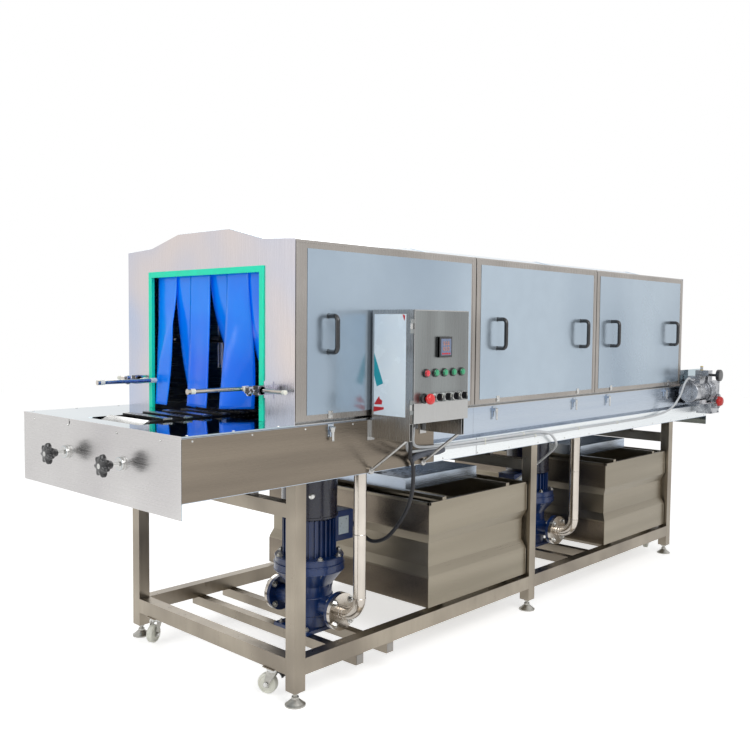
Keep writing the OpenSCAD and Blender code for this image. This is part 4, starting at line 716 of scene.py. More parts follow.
def lobed(piece, centre, axis, radius, lobes, sections, sides=98):
    u, v, w = square_to(axis)
    points, faces = [], []
    for along, scale in sections:
        for k in range(sides):
            a = 2 * math.pi * k / sides
            wave = 0.80 + 0.20 * math.cos(lobes * a) if math.cos(lobes * a) > -0.4 else 0.72
            r = radius * scale * wave
            points.append(Vector(centre) + w * along + (u * math.cos(a) + v * math.sin(a)) * r)
    rings = len(sections)
    for i in range(rings - 1):
        for k in range(sides):
            m = (k + 1) % sides
            faces.append((i * sides + k, i * sides + m, (i + 1) * sides + m, (i + 1) * sides + k))
    faces += [list(range(sides))[::-1], list(range((rings - 1) * sides, rings * sides))]
    piece.add(points, faces)


HEAD = [(0, 0.55), (1.5, 0.80), (4, 0.93), (8, 1.0), (18, 1.0), (22, 0.93), (25, 0.80), (26, 0.55)]
for number, y in ((1, -KNOB_Y), (2, KNOB_Y)):
    knob = Piece("star_grip_%d" % number)
    lobed(knob, (-548, y, KNOB_Z), (1, 0, 0), 39, 7, HEAD)
    knob.turned((-522.5, y, KNOB_Z), (1, 0, 0), [(0, 19), (8, 17), (20, 13.5), (22, 12)], 40)
    knob = knob.made("star_knob_%d" % number, knob_black, "knob_plastic", smooth=50)
    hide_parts("star_knob_%d" % number)
    screw = Piece("tension_screw_%d" % number)
    teeth = [(0, 7.9)] + [(2 + k * 1.5, 7.9 if k % 2 else 6.9) for k in range(104)] + [(160, 6.6)]
    screw.turned((-502, y, KNOB_Z), (1, 0, 0), teeth, 20)
    screw.turned((-548.6, y, KNOB_Z), (1, 0, 0), [(0, 0), (0.1, 9), (1.2, 9.5), (1.3, 0)], 24)
    screw.made("star_knob_%d" % number, bright_steel, "knob_plastic")
bushes = Piece("screw_bushes")
for y in (-KNOB_Y, KNOB_Y):
    bushes.turned((-461, y, KNOB_Z), (-1, 0, 0), [(0, 26), (1.5, 26), (2, 22.6), (12, 22.6), (14.5, 20.5), (14.6, 8.6)], 40)
bushes.made("machine", bright_steel, "table_steel", 0.3)

# %% [markdown]
# The guide rails stand on cross rods in clamps, and keep a bin in the middle of the mouth. The
# rails end in white plastic caps. The clamps are black mouldings with a ribbed collar, closed
# by a small knob, and the rods pass straight through them.

# %% Guide rails and their clamps
GUIDE_Z, GUIDE_Y, CLAMP_Y, ROD_X = TABLE + 116, 299.0, 395.0, -45.0
for number, side in ((1, -1), (2, 1)):
    caps = Piece("guide_caps_%d" % number)
    for x, way in ((-274.5, 1), (-15.5, -1)):
        caps.turned((x, side * GUIDE_Y, GUIDE_Z), (way, 0, 0), [(0, 7.5), (1.5, 9.6), (26, 9.6), (27, 8.4)], 28)
    caps.turned((ROD_X, side * 538, GUIDE_Z), (0, -side, 0), [(0, 5), (1, 8.2), (16, 8.2), (17, 7.4)], 28)
    caps.turned((ROD_X, side * 317, GUIDE_Z), (0, side, 0), [(0, 9), (1, 11), (22, 11), (23, 9)], 28)
    caps.made("guide_rail_%d" % number, nylon_white, "pipe_steel")
    clamp = Piece("guide_clamp_%d" % number)
    clamp.block((ROD_X - 17, side * CLAMP_Y - 13, GUIDE_Z - 17), (ROD_X + 17, side * CLAMP_Y + 13, GUIDE_Z + 17))
    for offset in (-16, 16):
        y = side * CLAMP_Y + offset
        for lip in (-1.8, 1.8):
            clamp.turned((ROD_X, y + lip - 1.4, GUIDE_Z), (0, 1, 0), [(0, 15), (2.8, 15), (2.8, 7.4), (0, 7.4), (0, 15)], 30)
    lobed(clamp, (ROD_X - 53, side * CLAMP_Y, GUIDE_Z), (1, 0, 0), 19, 5, [(d * 0.65, s) for d, s in HEAD], 60)
    clamp.made("machine", knob_black, "knob_plastic", 1.5)

# %% [markdown]
# A box of switches needs its own small world: black bezels, coloured lenses, a screen. Each is
# a turned or cut shape set on the steel door, and rides with it. The screen shows a few plain
# lit bars in place of figures, two rows in orange with a red strip below.

# %% Control panel
BOX_X, BOX_FRONT, BOX_Z, FACE_Y = 374.0, -745.0, 1000.0, -749.0
screen = Piece("controller_bezel")
sx, sz, sw, sh = BOX_X + 131, BOX_Z + 238, 74.0, 77.0
screen.profile([(sx, sz), (sx + sw, sz), (sx + sw, sz + sh), (sx, sz + sh)], "y", FACE_Y - 12.4, FACE_Y - 1)
screen.made("control_door", knob_black, "instrument_plastic", 2)
glass = Piece("controller_glass")
glass.block((sx + 8, FACE_Y - 13.2, sz + 8), (sx + sw - 7, FACE_Y - 12, sz + sh - 8))
glass.made("control_door", screen_grey, "instrument_plastic", 0.5)
digits = Piece("controller_figures")


def lit_figure(piece, x, z, high, bars):
    wide, thick = high * 0.5, high * 0.13
    spots = {"a": (0, high, wide, 0), "g": (0, high / 2, wide, 0), "d": (0, 0, wide, 0), "f": (0, high / 2, 0, high / 2),
             "b": (wide, high / 2, 0, high / 2), "e": (0, 0, 0, high / 2), "c": (wide, 0, 0, high / 2)}
    for bar in bars:
        dx, dz, w, h = spots[bar]
        piece.block((x + dx - thick / 2, FACE_Y - 13.9, z + dz - thick / 2),
                    (x + dx + w + thick / 2, FACE_Y - 13.1, z + dz + h + thick / 2))


for row, figures in enumerate((("acdfg", "abcdef", "abcdef"), ("acdefg", "acdfg", "abcdef"))):
    for k, bars in enumerate(figures):
        lit_figure(digits, sx + 21 + k * 13, sz + 46 - row * 20, 12, bars)
digits.made("control_door", digit_orange, "instrument_plastic")
strip_light = Piece("controller_keys")
for k in range(4):
    strip_light.block((sx + 12 + k * 13, FACE_Y - 14, sz + 11), (sx + 22 + k * 13, FACE_Y - 13.1, sz + 17))
strip_light.made("control_door", tape_red, "instrument_plastic", 0.4)

# %% [markdown]
# Pilot lamps are little lenses in black collars: red for a fault, green for each drive that
# runs. A lens is a turned dome with a few fine steps, which break up its highlight the way the
# prisms moulded inside a real one do.

# %% Pilot lamps
LENS = [(0, 12.7), (1.2, 13.0), (4, 13.0), (5, 12.1), (5.6, 12.3), (6.6, 10.6), (7.2, 10.7), (8.3, 7.6), (9.0, 4.0),
        (9.2, 0)]
for number, x in enumerate((68, 121, 173, 225, 277)):
    collar = Piece("lamp_collar_%d" % (number + 1))
    collar.turned((BOX_X + x, FACE_Y - 0.4, BOX_Z + 182), (0, -1, 0),
                  [(0, 16), (4, 16.2), (6.5, 14.6), (6.8, 13.4)], 40)
    collar.made("control_door", knob_black, "instrument_plastic")
    lens = Piece("lamp_lens_%d" % (number + 1))
    lens.turned((BOX_X + x, FACE_Y - 5, BOX_Z + 182), (0, -1, 0), LENS, 36)
    lens.made("control_door", lamp_red if number == 0 else lamp_green, "instrument_plastic", smooth=30)

# %% [markdown]
# The emergency stop is a red mushroom on a short stem, with a black collar behind it. The head
# and stem move together when it is struck, and the collar stays on the door, so they are two
# pieces. The selectors get a white pointer line, or nobody could see which way they point.

# %% Emergency stop and selectors
STOP_X, STOP_Z = BOX_X + 60, BOX_Z + 90
mushroom = Piece("stop_head")
mushroom.turned((STOP_X, FACE_Y - 14, STOP_Z), (0, -1, 0),
                [(0, 9), (8, 9), (9, 16), (11, 19.4), (15, 20), (20, 19.6), (24, 17.2), (26.2, 13), (27, 8), (26.4, 0)], 48)
mushroom = mushroom.made("emergency_stop", stop_red, "stop_plastic", smooth=50)
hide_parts("emergency_stop")
collar = Piece("stop_collar")
collar.turned((STOP_X, FACE_Y - 0.4, STOP_Z), (0, -1, 0),
              [(0, 19), (3, 19.5), (6, 18), (12, 16), (13, 12), (13, 9.4), (0, 9.4)], 44)
collar.made("control_door", knob_black, "stop_plastic")
for number, x in enumerate((134, 184, 234, 283)):
    turn = Piece("selector_pointer_%d" % (number + 1))
    x0, z0 = BOX_X + x, BOX_Z + 92
    turn.block((x0 - 0.9, FACE_Y - 26.6, z0 - 1), (x0 + 0.9, FACE_Y - 25.8, z0 + 11))
    turn.made("selector_%d" % (number + 1), nylon_white, "selector_plastic", 0.2)
    ring = Piece("selector_collar_%d" % (number + 1))
    ring.turned((x0, FACE_Y - 0.3, z0), (0, -1, 0),
                [(0, 16.5), (4, 17), (9, 15.6), (9.4, 14.6), (0.2, 14.6), (0, 16.5)], 40)
    ring.made("control_door", bright_steel, "selector_plastic")

# %% [markdown]
# The box's side still has its film, and scraps of coloured tape hold the film down. Each scrap
# is a thin cut shape, a little askew. The front folds over the box like a lid: a bright lower
# apron and a narrow rim give it the depth that a plain plate lacks.

# %% Box film, tape and apron
side_film = Piece("box_film")
side_film.block((BOX_X - 0.9, BOX_FRONT + 34, BOX_Z + 22), (BOX_X + 0.2, -545 - 10, BOX_Z + 396))
side_film.made("machine", box_film, "box_steel", 0.3)
teal = Piece("box_tape_teal")
teal.profile([(-556, BOX_Z + 250), (-556, BOX_Z + 168), (-570, BOX_Z + 128), (-602, BOX_Z + 140)], "x", BOX_X - 1.5, BOX_X - 0.8)
teal.made("machine", tape_teal, "box_steel")
red = Piece("box_tape_red")
red.profile([(-555, BOX_Z + 32), (-555, BOX_Z + 52), (-606, BOX_Z + 52), (-606, BOX_Z + 44)], "x", BOX_X - 1.5, BOX_X - 0.8)
red.profile([(-556, BOX_Z + 60), (-582, BOX_Z + 92), (-586, BOX_Z + 82), (-598, BOX_Z + 76), (-596, BOX_Z + 62)], "x",
            BOX_X - 1.5, BOX_X - 0.8)
red.profile([(-694, BOX_Z + 396), (-706, BOX_Z + 390), (-704, BOX_Z + 372), (-699, BOX_Z + 380)], "x", BOX_X - 1.5, BOX_X - 0.8)
red.made("machine", tape_red, "box_steel")
apron = Piece("door_apron")
apron.block((BOX_X + 1, FACE_Y - 2.6, BOX_Z + 1), (BOX_X + 319, FACE_Y - 1.8, BOX_Z + 74))
for z in (BOX_Z + 1, BOX_Z + 408.5):
    apron.block((BOX_X + 1, FACE_Y - 1.2, z), (BOX_X + 319, FACE_Y + 2, z + 2.5))
for x in (BOX_X + 1, BOX_X + 316.5):
    apron.block((x, FACE_Y - 1.2, BOX_Z + 1), (x + 2.5, FACE_Y + 2, BOX_Z + 411))
apron.made("control_door", box_steel, "panel_steel", 0.4)

# %% [markdown]
# An inline pump is a stack: foot, volute, bell, ribbed motor, fan cover. The castings come from CAD, and what sells
# them is hardware: bolts round the bell and flanges, a lid with four screws on the terminal box, and a plug in the fan
# cover.

# %% Pump hardware
# place, height of the foot, height of the ribs' top over it, side of the terminal box
PUMPS = ((423.0, -149.0, 110.0, 455.0, 1), (2038.0, -149.0, 170.0, 395.0, -1))
bolts = Piece("pump_bolts")
cast = Piece("pump_ribs")
for px, py, pz, fins, way_out in PUMPS:
    for k in range(8):
        a = math.radians(22.5 + 45 * k)
        bolts.bolt((px + 130 * math.cos(a), py + 130 * math.sin(a), pz + 302), (0, 0, 1), 17)
        bolts.bolt((px + 130 * math.cos(a), py + 130 * math.sin(a), pz + 242), (0, 0, -1), 17)
    for k in range(4):
        a = math.radians(45 + 90 * k)
        for y, way in ((py - 183 + 16, 1), (py + 183 - 16, -1)):
            bolts.bolt((px + 61 * math.cos(a), y, pz + 100 + 61 * math.sin(a)), (0, way, 0), 18)
        bolts.bolt((px + 82 * (1 if k % 2 else -1), py + 78 * (1 if k > 1 else -1), pz + 14), (0, 0, 1), 15)
    for k in range(12):
        a = math.radians(30 * k + 15)
        u, v = math.cos(a), math.sin(a)
        cast.add([(px + r * u + s * 4 * -v, py + r * v + s * 4 * u, pz + z)
                  for s in (-1, 1) for r, z in ((93, 150), (93, 236), (128, 240), (99, 184))],
                 [(0, 1, 2, 3), (7, 6, 5, 4), (0, 4, 5, 1), (1, 5, 6, 2), (2, 6, 7, 3), (3, 7, 4, 0)])
    for z, r in ((244, 146), (272, 146), (298, 142)):
        cast.turned((px, py, pz + z - 2), (0, 0, 1), [(0, r - 1), (1, r + 1), (4, r + 1), (5, r - 1)], 64)
    cast.turned((px, py, pz + 60), (0, 0, 1), [(0, 94), (4, 99), (76, 99), (80, 94)], 56)
    cast.turned((px - 88, py - 40, pz + 170), (-0.8, -0.5, 0.2), [(0, 14), (14, 13), (15, 9)], 24)
bolts.made("machine", zinc_steel, "pump_paint")
cast.made("machine", pump_blue, "pump_paint", 1.2)

# %% [markdown]
# Above the bell sits the electric part. The terminal box hangs on one side, with a plain metal
# plate on its lid, and a black gland takes the lead. The fan cover is pressed sheet with a
# rolled foot, a domed top and a bright plug on its side.

# %% Pump motors and fan covers
housings = Piece("terminal_boxes")
plates = Piece("blank_plates")
glands = Piece("pump_glands")
hoods = Piece("fan_hood_edges")
plugs = Piece("hood_plugs")
for px, py, pz, fins, way_out in PUMPS:
    bz, top = pz + fins - 112, pz + fins

    def lid(part, a, b):
        x_low, x_high = sorted((px + way_out * (82 + a[0]), px + way_out * (82 + b[0])))
        part.block((x_low, py + a[1], bz + a[2]), (x_high, py + b[1], bz + b[2]))

    lid(housings, (2, -54, -3), (121, -50.5, 121))
    lid(housings, (-2, -50.2, 119), (119, 52, 123))
    for dx in (12, 110):
        for dz in (8, 110):
            housings.turned((px + way_out * (82 + dx), py - 53.5, bz + dz), (0, -1, 0), [(0, 5), (3, 5), (3.5, 3)], 6)
    lid(plates, (34, -55.2, 24), (92, -53.8, 98))
    glands.turned((px + way_out * 206, py, top - 60), (way_out, 0, 0), [(0, 13), (8, 13), (9, 11), (16, 11), (20, 9)], 6)
    hoods.turned((px, py, top + 6), (0, 0, 1), [(0, 115.4), (1, 117.4), (9, 117.4), (10, 115.4)], 72)
    hoods.turned((px, py, top + 177), (0, 0, 1), [(0, 115.2), (4, 115.8), (8.5, 112), (9.4, 106), (9.4, 104), (8, 104)],
                 72)
    for k in range(6):
        a = math.radians(60 * k + 12)
        hoods.turned((px + 115 * math.cos(a), py + 115 * math.sin(a), top + 17), (math.cos(a), math.sin(a), 0),
                     [(0, 5), (2.5, 5), (3.5, 3)], 6)
    a = math.radians(-128)
    plugs.turned((px + 114 * math.cos(a), py + 114 * math.sin(a), top + 105), (math.cos(a), math.sin(a), 0),
                 [(0, 12), (2, 12), (4, 9.5), (5, 0)], 28)
housings.made("machine", pump_blue, "pump_paint", 1.5)
plates.made("machine", plate_blank, "pump_paint", 0.4)
glands.made("machine", knob_black, "cable_rubber")
hoods.made("machine", cover_blue, "cover_paint")
plugs.made("machine", bright_steel, "cover_paint")

# %% [markdown]
# Stainless pipe leaves each pump through a bolted flange, an elbow and a riser. A welded joint
# leaves a slim bead, so a ring goes at each end of the elbow. A dark gasket between the two
# flanges makes the line that separates the blue casting from the bright steel.

# %% Pipe joints
joints = Piece("pipe_beads")
gaskets = Piece("flange_gaskets")
nuts = Piece("flange_nuts")
for px, py, pz, fins, way_out in PUMPS:
    port, face = pz + 100, py - 183
    for y in (face - 16.5, -440 + 76):
        joints.turned((px, y, port), (0, -1, 0), [(-2, 25.2), (0, 26.6), (2, 25.2)], 40)
    joints.turned((px, -440, port + 76), (0, 0, 1), [(-2, 25.2), (0, 26.6), (2, 25.2)], 40)
    joints.turned((px, -440, port + 330), (0, 0, 1), [(-1.5, 25.2), (0, 26.2), (1.5, 25.2)], 40)
    gaskets.turned((px, face + 0.9, port), (0, -1, 0), [(0, 70), (0.1, 74.4), (1.9, 74.4), (2, 70)], 56)
    for k in range(4):
        a = math.radians(45 + 90 * k)
        nuts.bolt((px + 61 * math.cos(a), face - 16, port + 61 * math.sin(a)), (0, -1, 0), 18)
        nuts.bolt((px + 61 * math.cos(a), py + 183 + 16, port + 61 * math.sin(a)), (0, 1, 0), 18)
joints.made("machine", pipe_steel, "pipe_steel")
gaskets.made("machine", cable_black, "pipe_steel")
nuts.made("machine", bright_steel, "pipe_steel")

# %% [markdown]
# The drive sits beside the outfeed: a fan-cooled motor, a variator with its black handwheel and
# a worm gear unit on the shaft. Its ribs and rings are turned as one long profile, the fan
# grille is a set of thin hoops, and a red cap closes the hollow output shaft.

# %% Gear unit and drive motor
MOTOR_Y, SHAFT_Z, DRIVE_X = -600.0, 908.0, 3360.0
MOTOR_Z, FAN_X = SHAFT_Z + 68, 3058.0
ribs = Piece("motor_ribs")
for k in range(36):
    a = math.radians(10 * k)
    if 50 < 10 * k < 130 or 230 < 10 * k < 310:
        continue
    u, v = math.cos(a), math.sin(a)
    ribs.add([(x, MOTOR_Y + r * u + s * 1.2 * -v, MOTOR_Z + r * v + s * 1.2 * u)
              for s in (-1, 1) for r in (52, 60) for x in (3120, 3216)],
             [(0, 1, 3, 2), (6, 7, 5, 4), (0, 4, 5, 1), (2, 3, 7, 6), (0, 2, 6, 4), (1, 5, 7, 3)])
for x, r in ((3119, 62), (3214, 66), (3226, 76), (3244, 76), (3262, 76), (3282, 76), (3292, 74)):
    ribs.turned((x, MOTOR_Y, MOTOR_Z), (1, 0, 0), [(0, r - 3), (0.6, r), (5, r), (5.6, r - 3)], 60)
ribs.turned((FAN_X - 1, MOTOR_Y, MOTOR_Z), (1, 0, 0), [(0, 55), (0, 58), (2, 60), (46, 60.5), (58, 61), (60, 59)], 60)
for r in (12, 20, 28, 36, 44, 52):
    hoop = [(FAN_X + 1.2, MOTOR_Y + r * math.cos(a), MOTOR_Z + r * math.sin(a))
            for a in (2 * math.pi * k / 40 for k in range(41))]
    ribs.bent(hoop, 1.4, 8)
for k in range(8):
    a = math.pi * k / 8
    ribs.rod((FAN_X + 1.4, MOTOR_Y + 56 * math.cos(a), MOTOR_Z + 56 * math.sin(a)),
             (FAN_X + 1.4, MOTOR_Y - 56 * math.cos(a), MOTOR_Z - 56 * math.sin(a)), 1.2, 8)
for dz in (-70, 116):
    for dx in (-52, 52):
        ribs.turned((DRIVE_X + dx, -640, SHAFT_Z + dz), (0, -1, 0), [(0, 6), (4, 6), (5, 4)], 6)
for k in range(6):
    a = math.radians(60 * k + 30)
    ribs.turned((DRIVE_X + 38 * math.cos(a), -662, SHAFT_Z + 38 * math.sin(a)), (0, -1, 0), [(0, 5), (4, 5), (5, 3.5)], 6)
for z in range(5):
    ribs.block((DRIVE_X - 56, -643, SHAFT_Z + 62 + z * 12), (DRIVE_X + 56, -639, SHAFT_Z + 65 + z * 12))
ribs.made("machine", drive_grey, "gear_paint", 0.4)
cap = Piece("shaft_cap")
cap.turned((DRIVE_X, -661, SHAFT_Z), (0, -1, 0), [(0, 30), (4, 31), (14, 29), (22, 25), (26, 18), (27.5, 0)], 44)
cap.made("machine", cap_red, "gear_paint", smooth=50)
extras = Piece("drive_breather")
extras.turned((3242, MOTOR_Y, MOTOR_Z + 124), (0, 0, 1), [(0, 9), (4, 9), (5, 7), (18, 7), (19, 8.6), (24, 8.6), (26, 6)], 24)
extras.made("machine", brass, "gear_paint")
lead_in = Piece("drive_gland")
lead_in.turned((FAN_X + 70, MOTOR_Y, MOTOR_Z + 68), (-1, 0, 0), [(0, 12), (8, 12), (9, 10), (18, 10), (22, 7)], 6)
lead_in.block((FAN_X + 68, MOTOR_Y - 40, MOTOR_Z + 88), (FAN_X + 152, MOTOR_Y + 40, MOTOR_Z + 92))
lead_in.made("machine", drive_grey, "gear_paint", 0.8)
grip = Piece("handwheel_rim")
grip.turned((3268, MOTOR_Y - 108.6, MOTOR_Z + 96), (0, 1, 0), [(0, 26), (0.2, 31), (3, 35), (16, 35), (19, 32), (20, 26)], 44)
grip.made("speed_handwheel", knob_black, "knob_plastic")

# %% [markdown]
# Cable follows gravity and the clips that hold it. The leads here run from the control box to both pumps and the drive
# along listed points, with a smooth curve through them, on the same route as the CAD tubes that they replace. The near
# pump's lead is black; the two that run along the pale band have a pale sheath. A corrugated conduit is the same sweep
# with a radius that goes up and down from ring to ring.

# %% Cables and conduit
PUMP_LEAD = [(450, -669, 985), (452, -668, 950), (470, -655, 905), (520, -610, 862), (575, -562, 838), (608, -548, 810),
             (622, -540, 760), (640, -520, 690), (655, -480, 610), (664, -420, 530), (668, -350, 465), (668, -270, 440),
             (670, -200, 470), (668, -162, 497), (656, -149, 505), (636, -149, 505)]
DRIVE_LEAD = [(470, -640, 985), (474, -636, 950), (500, -610, 905), (560, -568, 866), (640, -545, 856), (800, -540, 850),
              (1100, -538, 846), (1500, -538, 844), (1900, -538, 846), (2300, -538, 846), (2700, -540, 850),
              (2900, -560, 880), (2970, -585, 950), (3010, -598, 1030), (3055, -600, 1056), (3100, -600, 1044),
              (3127, -600, 1044)]
SECOND_LEAD = [(504, -640, 985), (508, -636, 950), (536, -610, 914), (594, -570, 886), (664, -548, 870), (800, -540, 862),
               (1100, -538, 860), (1400, -538, 860), (1520, -542, 860), (1590, -555, 850), (1640, -555, 822),
               (1680, -545, 788), (1710, -510, 754), (1735, -440, 700), (1750, -350, 630), (1758, -260, 560),
               (1764, -190, 520), (1780, -155, 506), (1802, -149, 505), (1825, -149, 505)]


def smooth_route(points, count):
    p = [Vector(q) for q in points]
    route = []
    for k in range(count + 1):
        t = k * (len(p) - 1) / count
        i = min(int(t), len(p) - 2)
        u = t - i
        a, b, c, d = p[max(i - 1, 0)], p[i], p[i + 1], p[min(i + 2, len(p) - 1)]
        route.append(0.5 * (2 * b + (c - a) * u + (2 * a - 5 * b + 4 * c - d) * u * u + (3 * b - a - 3 * c + d) * u ** 3))
    return route


lead = Piece("pump_lead")
lead.bent(smooth_route(PUMP_LEAD, 110), 8, 16)
lead = lead.made("machine", cable_black, "cable_rubber")
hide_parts("cables")
pale_leads = Piece("pale_leads")
pale_leads.bent(smooth_route(DRIVE_LEAD, 180), 6, 14)
pale_leads.bent(smooth_route(SECOND_LEAD, 170), 6, 14)
pale_leads.made("machine", sheath_grey, "cable_rubber")
sleeve = Piece("box_gland")
sleeve.turned((450, -669, 1001), (0, 0, -1), [(0, 18), (8, 18), (9, 15), (20, 14), (36, 9.5)], 20)
for x in (470, 504):
    sleeve.turned((x, -640, 1001), (0, 0, -1), [(0, 14), (8, 14), (9, 11), (20, 10), (30, 7.5)], 20)
for y in (-640, -600):
    sleeve.turned((560, y, 1001), (0, 0, -1), [(0, 15), (10, 15), (11, 12), (40, 11), (44, 8)], 20)
sleeve.made("machine", knob_black, "cable_rubber")
conduit = Piece("corrugated_conduit")
loop = smooth_route([(594, -552, 826), (640, -551, 838), (700, -549, 842), (760, -549, 842), (800, -547, 848)], 90)
conduit.bent(loop, lambda i: 12.5 if i % 3 else 10.5, 16)
conduit.made("machine", conduit_grey, "cable_rubber")
ties = Piece("cable_ties")
for x, y, z in ((612, -547, 806), (700, -543, 846), (776, -543, 846), (1100, -538, 846), (1500, -538, 844), (1900, -538, 846),
                (2300, -538, 846), (1100, -538, 860), (1400, -538, 860)):
    ties.turned((x - 2, y, z), (1, 0, 0), [(0, 6.4), (0, 8.4), (4, 8.4), (4, 6.4)], 20)
    ties.block((x - 2, y - 1, z), (x + 2, -HALF + 18, z + 2))
ties.made("machine", nylon_white, "cable_rubber", 0.4)

# %% [markdown]
# Small things tell the eye how big the machine is. The feet get lock nuts and threads, the
# castors a black brake pedal and bearing caps, the frame its weld beads where rails meet legs,
# and the open ends of the tubes get pressed-in plugs.

# %% Feet, castors and welds
threads = Piece("foot_threads")
for x in (35, 1515, 2995):
    for y in (-502, 502):
        threads.turned((x, y, 30), (0, 0, 1), [(k * 1.2, 8.3 if k % 2 else 7.6) for k in range(12)], 20)
        threads.turned((x, y, 43.2), (0, 0, 1), [(0, 13), (0.6, 14.2), (7.4, 14.2), (8, 13)], 6)
threads.made("machine", zinc_steel, "zinc_steel")
TURNS = (115, 205, 20, 150)
for number, ((x, y), turn_deg) in enumerate(zip(((35, -385), (35, 385), (2995, -385), (2995, 385)), TURNS)):
    a = math.radians(turn_deg)
    out, side = Vector((math.cos(a), math.sin(a), 0)), Vector((-math.sin(a), math.cos(a), 0))
    hub = Vector((x, y, 44.5)) + out * 24
    caps = Piece("castor_nuts_%d" % (number + 1))
    for s in (-1, 1):
        caps.turned(hub + side * s * 20, side * s, [(0, 9), (2, 9), (2.4, 7.6), (7, 7.6), (8, 6)], 6)
    caps.turned((x, y, 105), (0, 0, -1), [(0, 27), (1, 28), (6, 28), (8, 25), (12, 24)], 40)
    caps.made("castor_fork_%d" % (number + 1), bright_steel, "zinc_steel", 0.3)
    if number in (0, 1):
        pedal = Piece("castor_pedal_%d" % (number + 1))
        tail = Vector((x, y, 0)) - out * 22
        path = [tail + Vector((0, 0, 96)), tail - out * 8 + Vector((0, 0, 92)), tail - out * 15 + Vector((0, 0, 84)),
                tail - out * 18 + Vector((0, 0, 76))]
        for s in (-11, -4, 4, 11):
            pedal.bent([p + side * s for p in path], 4.6, 12)
        pedal.made("castor_fork_%d" % (number + 1), knob_black, "zinc_steel")
    tread = Piece("castor_face_%d" % (number + 1))
    for s in (-1, 1):
        tread.turned(hub + side * s * 9.2, side * s, [(0, 15), (0.4, 26), (1.2, 28), (1.6, 26), (1.6, 15)], 40)
    tread.made("castor_wheel_%d" % (number + 1), nylon_white, "castor_nylon")

welds = Piece("weld_beads")
for x in (10, 1490, 2970):
    for s in (-1, 1):
        y = s * 477
        for z0, z1 in ((110, 170), (675, 725)):
            for xx in (x + 1, x + 49):
                welds.rod((xx, y, z0), (xx, y, z1), 1.6, 8)
        for xx, away in ((x, -1), (x + 50, 1)):
            if (x == 10 and away < 0) or (x == 2970 and away > 0):
                continue
            for z0, z1 in ((110, 170), (820, 870)):
                welds.rod((xx, s * 526, z0), (xx, s * 526, z1), 1.6, 8)
for x in (338, 508):
    for s in (-1, 1):
        welds.rod((x - 20, s * 479, 110), (x + 20, s * 479, 110), 2, 8)
welds.made("machine", tube_steel, "tube_steel")
ends = Piece("tube_plugs")
for x in (338, 508):
    for s in (-1, 1):
        ends.block((x - 17.5, s * 527 - 1.5, 72.5), (x + 17.5, s * 527 + 1.0, 107.5))
ends.made("machine", inner_steel, "tube_steel", 0.5)

# %% [markdown]
# The long side panel is made of lengths joined with cover seams, and little screws run along its ledge. Its deep front
# length and the tanks' infeed ends get a darker, duller, warmer copy of the steel as a thin skin: painted shade,
# standing in for the dimmer reflection of these faces. The tanks have a folded rim and a bead down each corner. The
# tunnel roof is two sheets that overlap at a rib, and the far side is stiffened by pressed ribs.

# %% Seams, rims and roof ribs
lines = Piece("panel_seams")
for y, s in ((-HALF, -1), (HALF, 1)):
    for x in (759.5, 1050.5):
        lines.block((x - 1.2, min(y, y - s * -0.7), 800), (x + 1.2, max(y, y + s * 0.7), 872))
    lines.block((-459, min(y, y + s * 0.8), 1000.5), (759, max(y, y + s * 0.8), 1002))
lines.made("machine", chain_steel, "sheet_steel")
studs = Piece("panel_screws")
for x in range(-420, 760, 236):
    studs.turned((x, -HALF - 0.2, 990), (0, -1, 0), [(0, 4.2), (1.6, 3.4), (2.2, 0)], 14)
for x in range(820, 3480, 240):
    studs.turned((x, -HALF - 0.2, 806), (0, -1, 0), [(0, 4.2), (1.6, 3.4), (2.2, 0)], 14)
studs.made("machine", bright_steel, "sheet_steel")
rims = Piece("tank_rims")
for tx in (762, 2242):
    for y in (-510, 500):
        rims.block((tx - 2, y - 2, 612), (tx + 722, y + 12, 624))
    for x in (tx - 2, tx + 710):
        rims.block((x, -512, 612), (x + 12, 512, 624))
    for x in (tx, tx + 720):
        for y in (-510, 510):
            rims.rod((x, y, 184), (x, y, 306), 1.8, 8)
            rims.rod((x, y, 490), (x, y, 612), 1.8, 8)
rims.made("machine", tank_steel, "tank_steel", 1.0)
# painted shade: a darker skin on the skirt's front length and on the tanks' infeed ends
shade = Piece("painted_shade_skins")
shade.block((-459, -HALF - 0.7, 799), (758, -HALF, 999))
for tx in (762, 2242):
    for z0, z1 in ((185, 304), (492, 611)):
        shade.block((tx - 0.8, -507, z0), (tx, 507, z1))
shade.made("machine", painted_shade_steel, "sheet_steel", 0.2)
# painted highlight: a lighter skin laid on the low band of the side skirt
band = Piece("band_highlight_skin")
band.block((761, -HALF - 0.5, 799), (3498, -HALF, 872))
band.made("machine", band_highlight_steel, "sheet_steel", 0.2)
ribs = Piece("roof_ribs")
ROOF = [(-503, 1650), (-353, 1658), (-162, 1705), (162, 1705), (353, 1658), (529, 1650)]
for x in (1033.3, 2066.6):
    ribs.bent([(x, y, z) for y, z in ROOF], 3.0, 8)
for x in (6, TUNNEL - 6):
    ribs.bent([(x, y, z) for y, z in ROOF], 1.6, 8)
ribs.made("machine", roof_steel, "sheet_steel")
back = Piece("back_panel_seams")
for x in (516, 1033, 1550, 2067, 2583):
    back.profile([(HALF - 0.5, TABLE + 20), (HALF + 2, TABLE + 24), (HALF + 2, SHOULDER - 24), (HALF - 0.5, SHOULDER - 20)],
                 "x", x - 9, x + 9)
back.made("machine", roof_steel, "sheet_steel", 0.8)

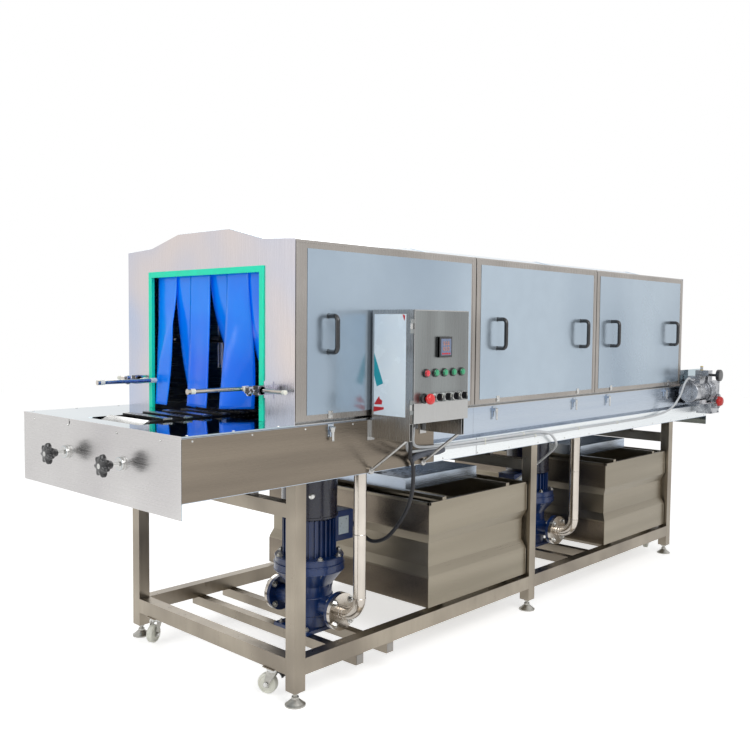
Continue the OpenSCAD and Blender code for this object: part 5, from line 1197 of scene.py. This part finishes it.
# %% [markdown]
# Slats ride on two roller chains. From the infeed you see the slats' folded edges, the chain's
# rollers between its side plates and the attachments at each slat. They are set out along the
# upper run only, at the same pitch as the slats; the wheels' turn hides the rest.

# %% Chain rollers and slat edges
WHEEL_R, IDLER_X = 92.0, -290.0
RUN = DRIVE_X - IDLER_X
LOOP = 2 * RUN + 2 * math.pi * WHEEL_R
COUNT = round(LOOP / 86)


def on_loop(s, r):
    arc = math.pi * WHEEL_R
    if s < RUN:
        return IDLER_X + s, SHAFT_Z + r, 0.0
    if s < RUN + arc:
        a = (s - RUN) / arc * math.pi
        return DRIVE_X + r * math.sin(a), SHAFT_Z + r * math.cos(a), a
    if s < 2 * RUN + arc:
        return DRIVE_X - (s - RUN - arc), SHAFT_Z - r, math.pi
    a = (s - 2 * RUN - arc) / arc * math.pi
    return IDLER_X - r * math.sin(a), SHAFT_Z - r * math.cos(a), math.pi + a


rollers = Piece("chain_rollers")
for k in range(int(LOOP / 21.5)):
    x, z, a = on_loop(k * LOOP / int(LOOP / 21.5), WHEEL_R)
    for y in (-120, 120):
        rollers.rod((x, y - 9.5, z), (x, y + 9.5, z), 3.4, 10)
rollers.made("machine", bright_steel, "chain_steel")
slats = Piece("slat_skins")
for k in range(COUNT):
    x, z, a = on_loop((k + 0.5) * LOOP / COUNT, WHEEL_R + 15)
    out, fore = Vector((math.sin(a), 0, math.cos(a))), Vector((math.cos(a), 0, -math.sin(a)))
    corners = []
    for s in (-1, 1):
        for f, h in ((-19.5, 3.2), (-17, 3.7), (17, 3.7), (19.5, 3.2), (19.5, -2.4), (-19.5, -2.4)):
            p = Vector((x, s * 134.6, z)) + fore * f + out * h
            corners.append(tuple(p))
    slats.add(corners, [(0, 1, 2, 3, 4, 5), (11, 10, 9, 8, 7, 6)] + [(i, (i + 1) % 6, 6 + (i + 1) % 6, 6 + i) for i in range(6)])
    for s in (-120, 120):
        p = Vector((x, s, z)) + out * 3.6
        slats.turned(tuple(p), tuple(out), [(0, 5.2), (0.9, 4.6), (1.2, 0)], 10)
slats.made("machine", slat_steel, "chain_steel")
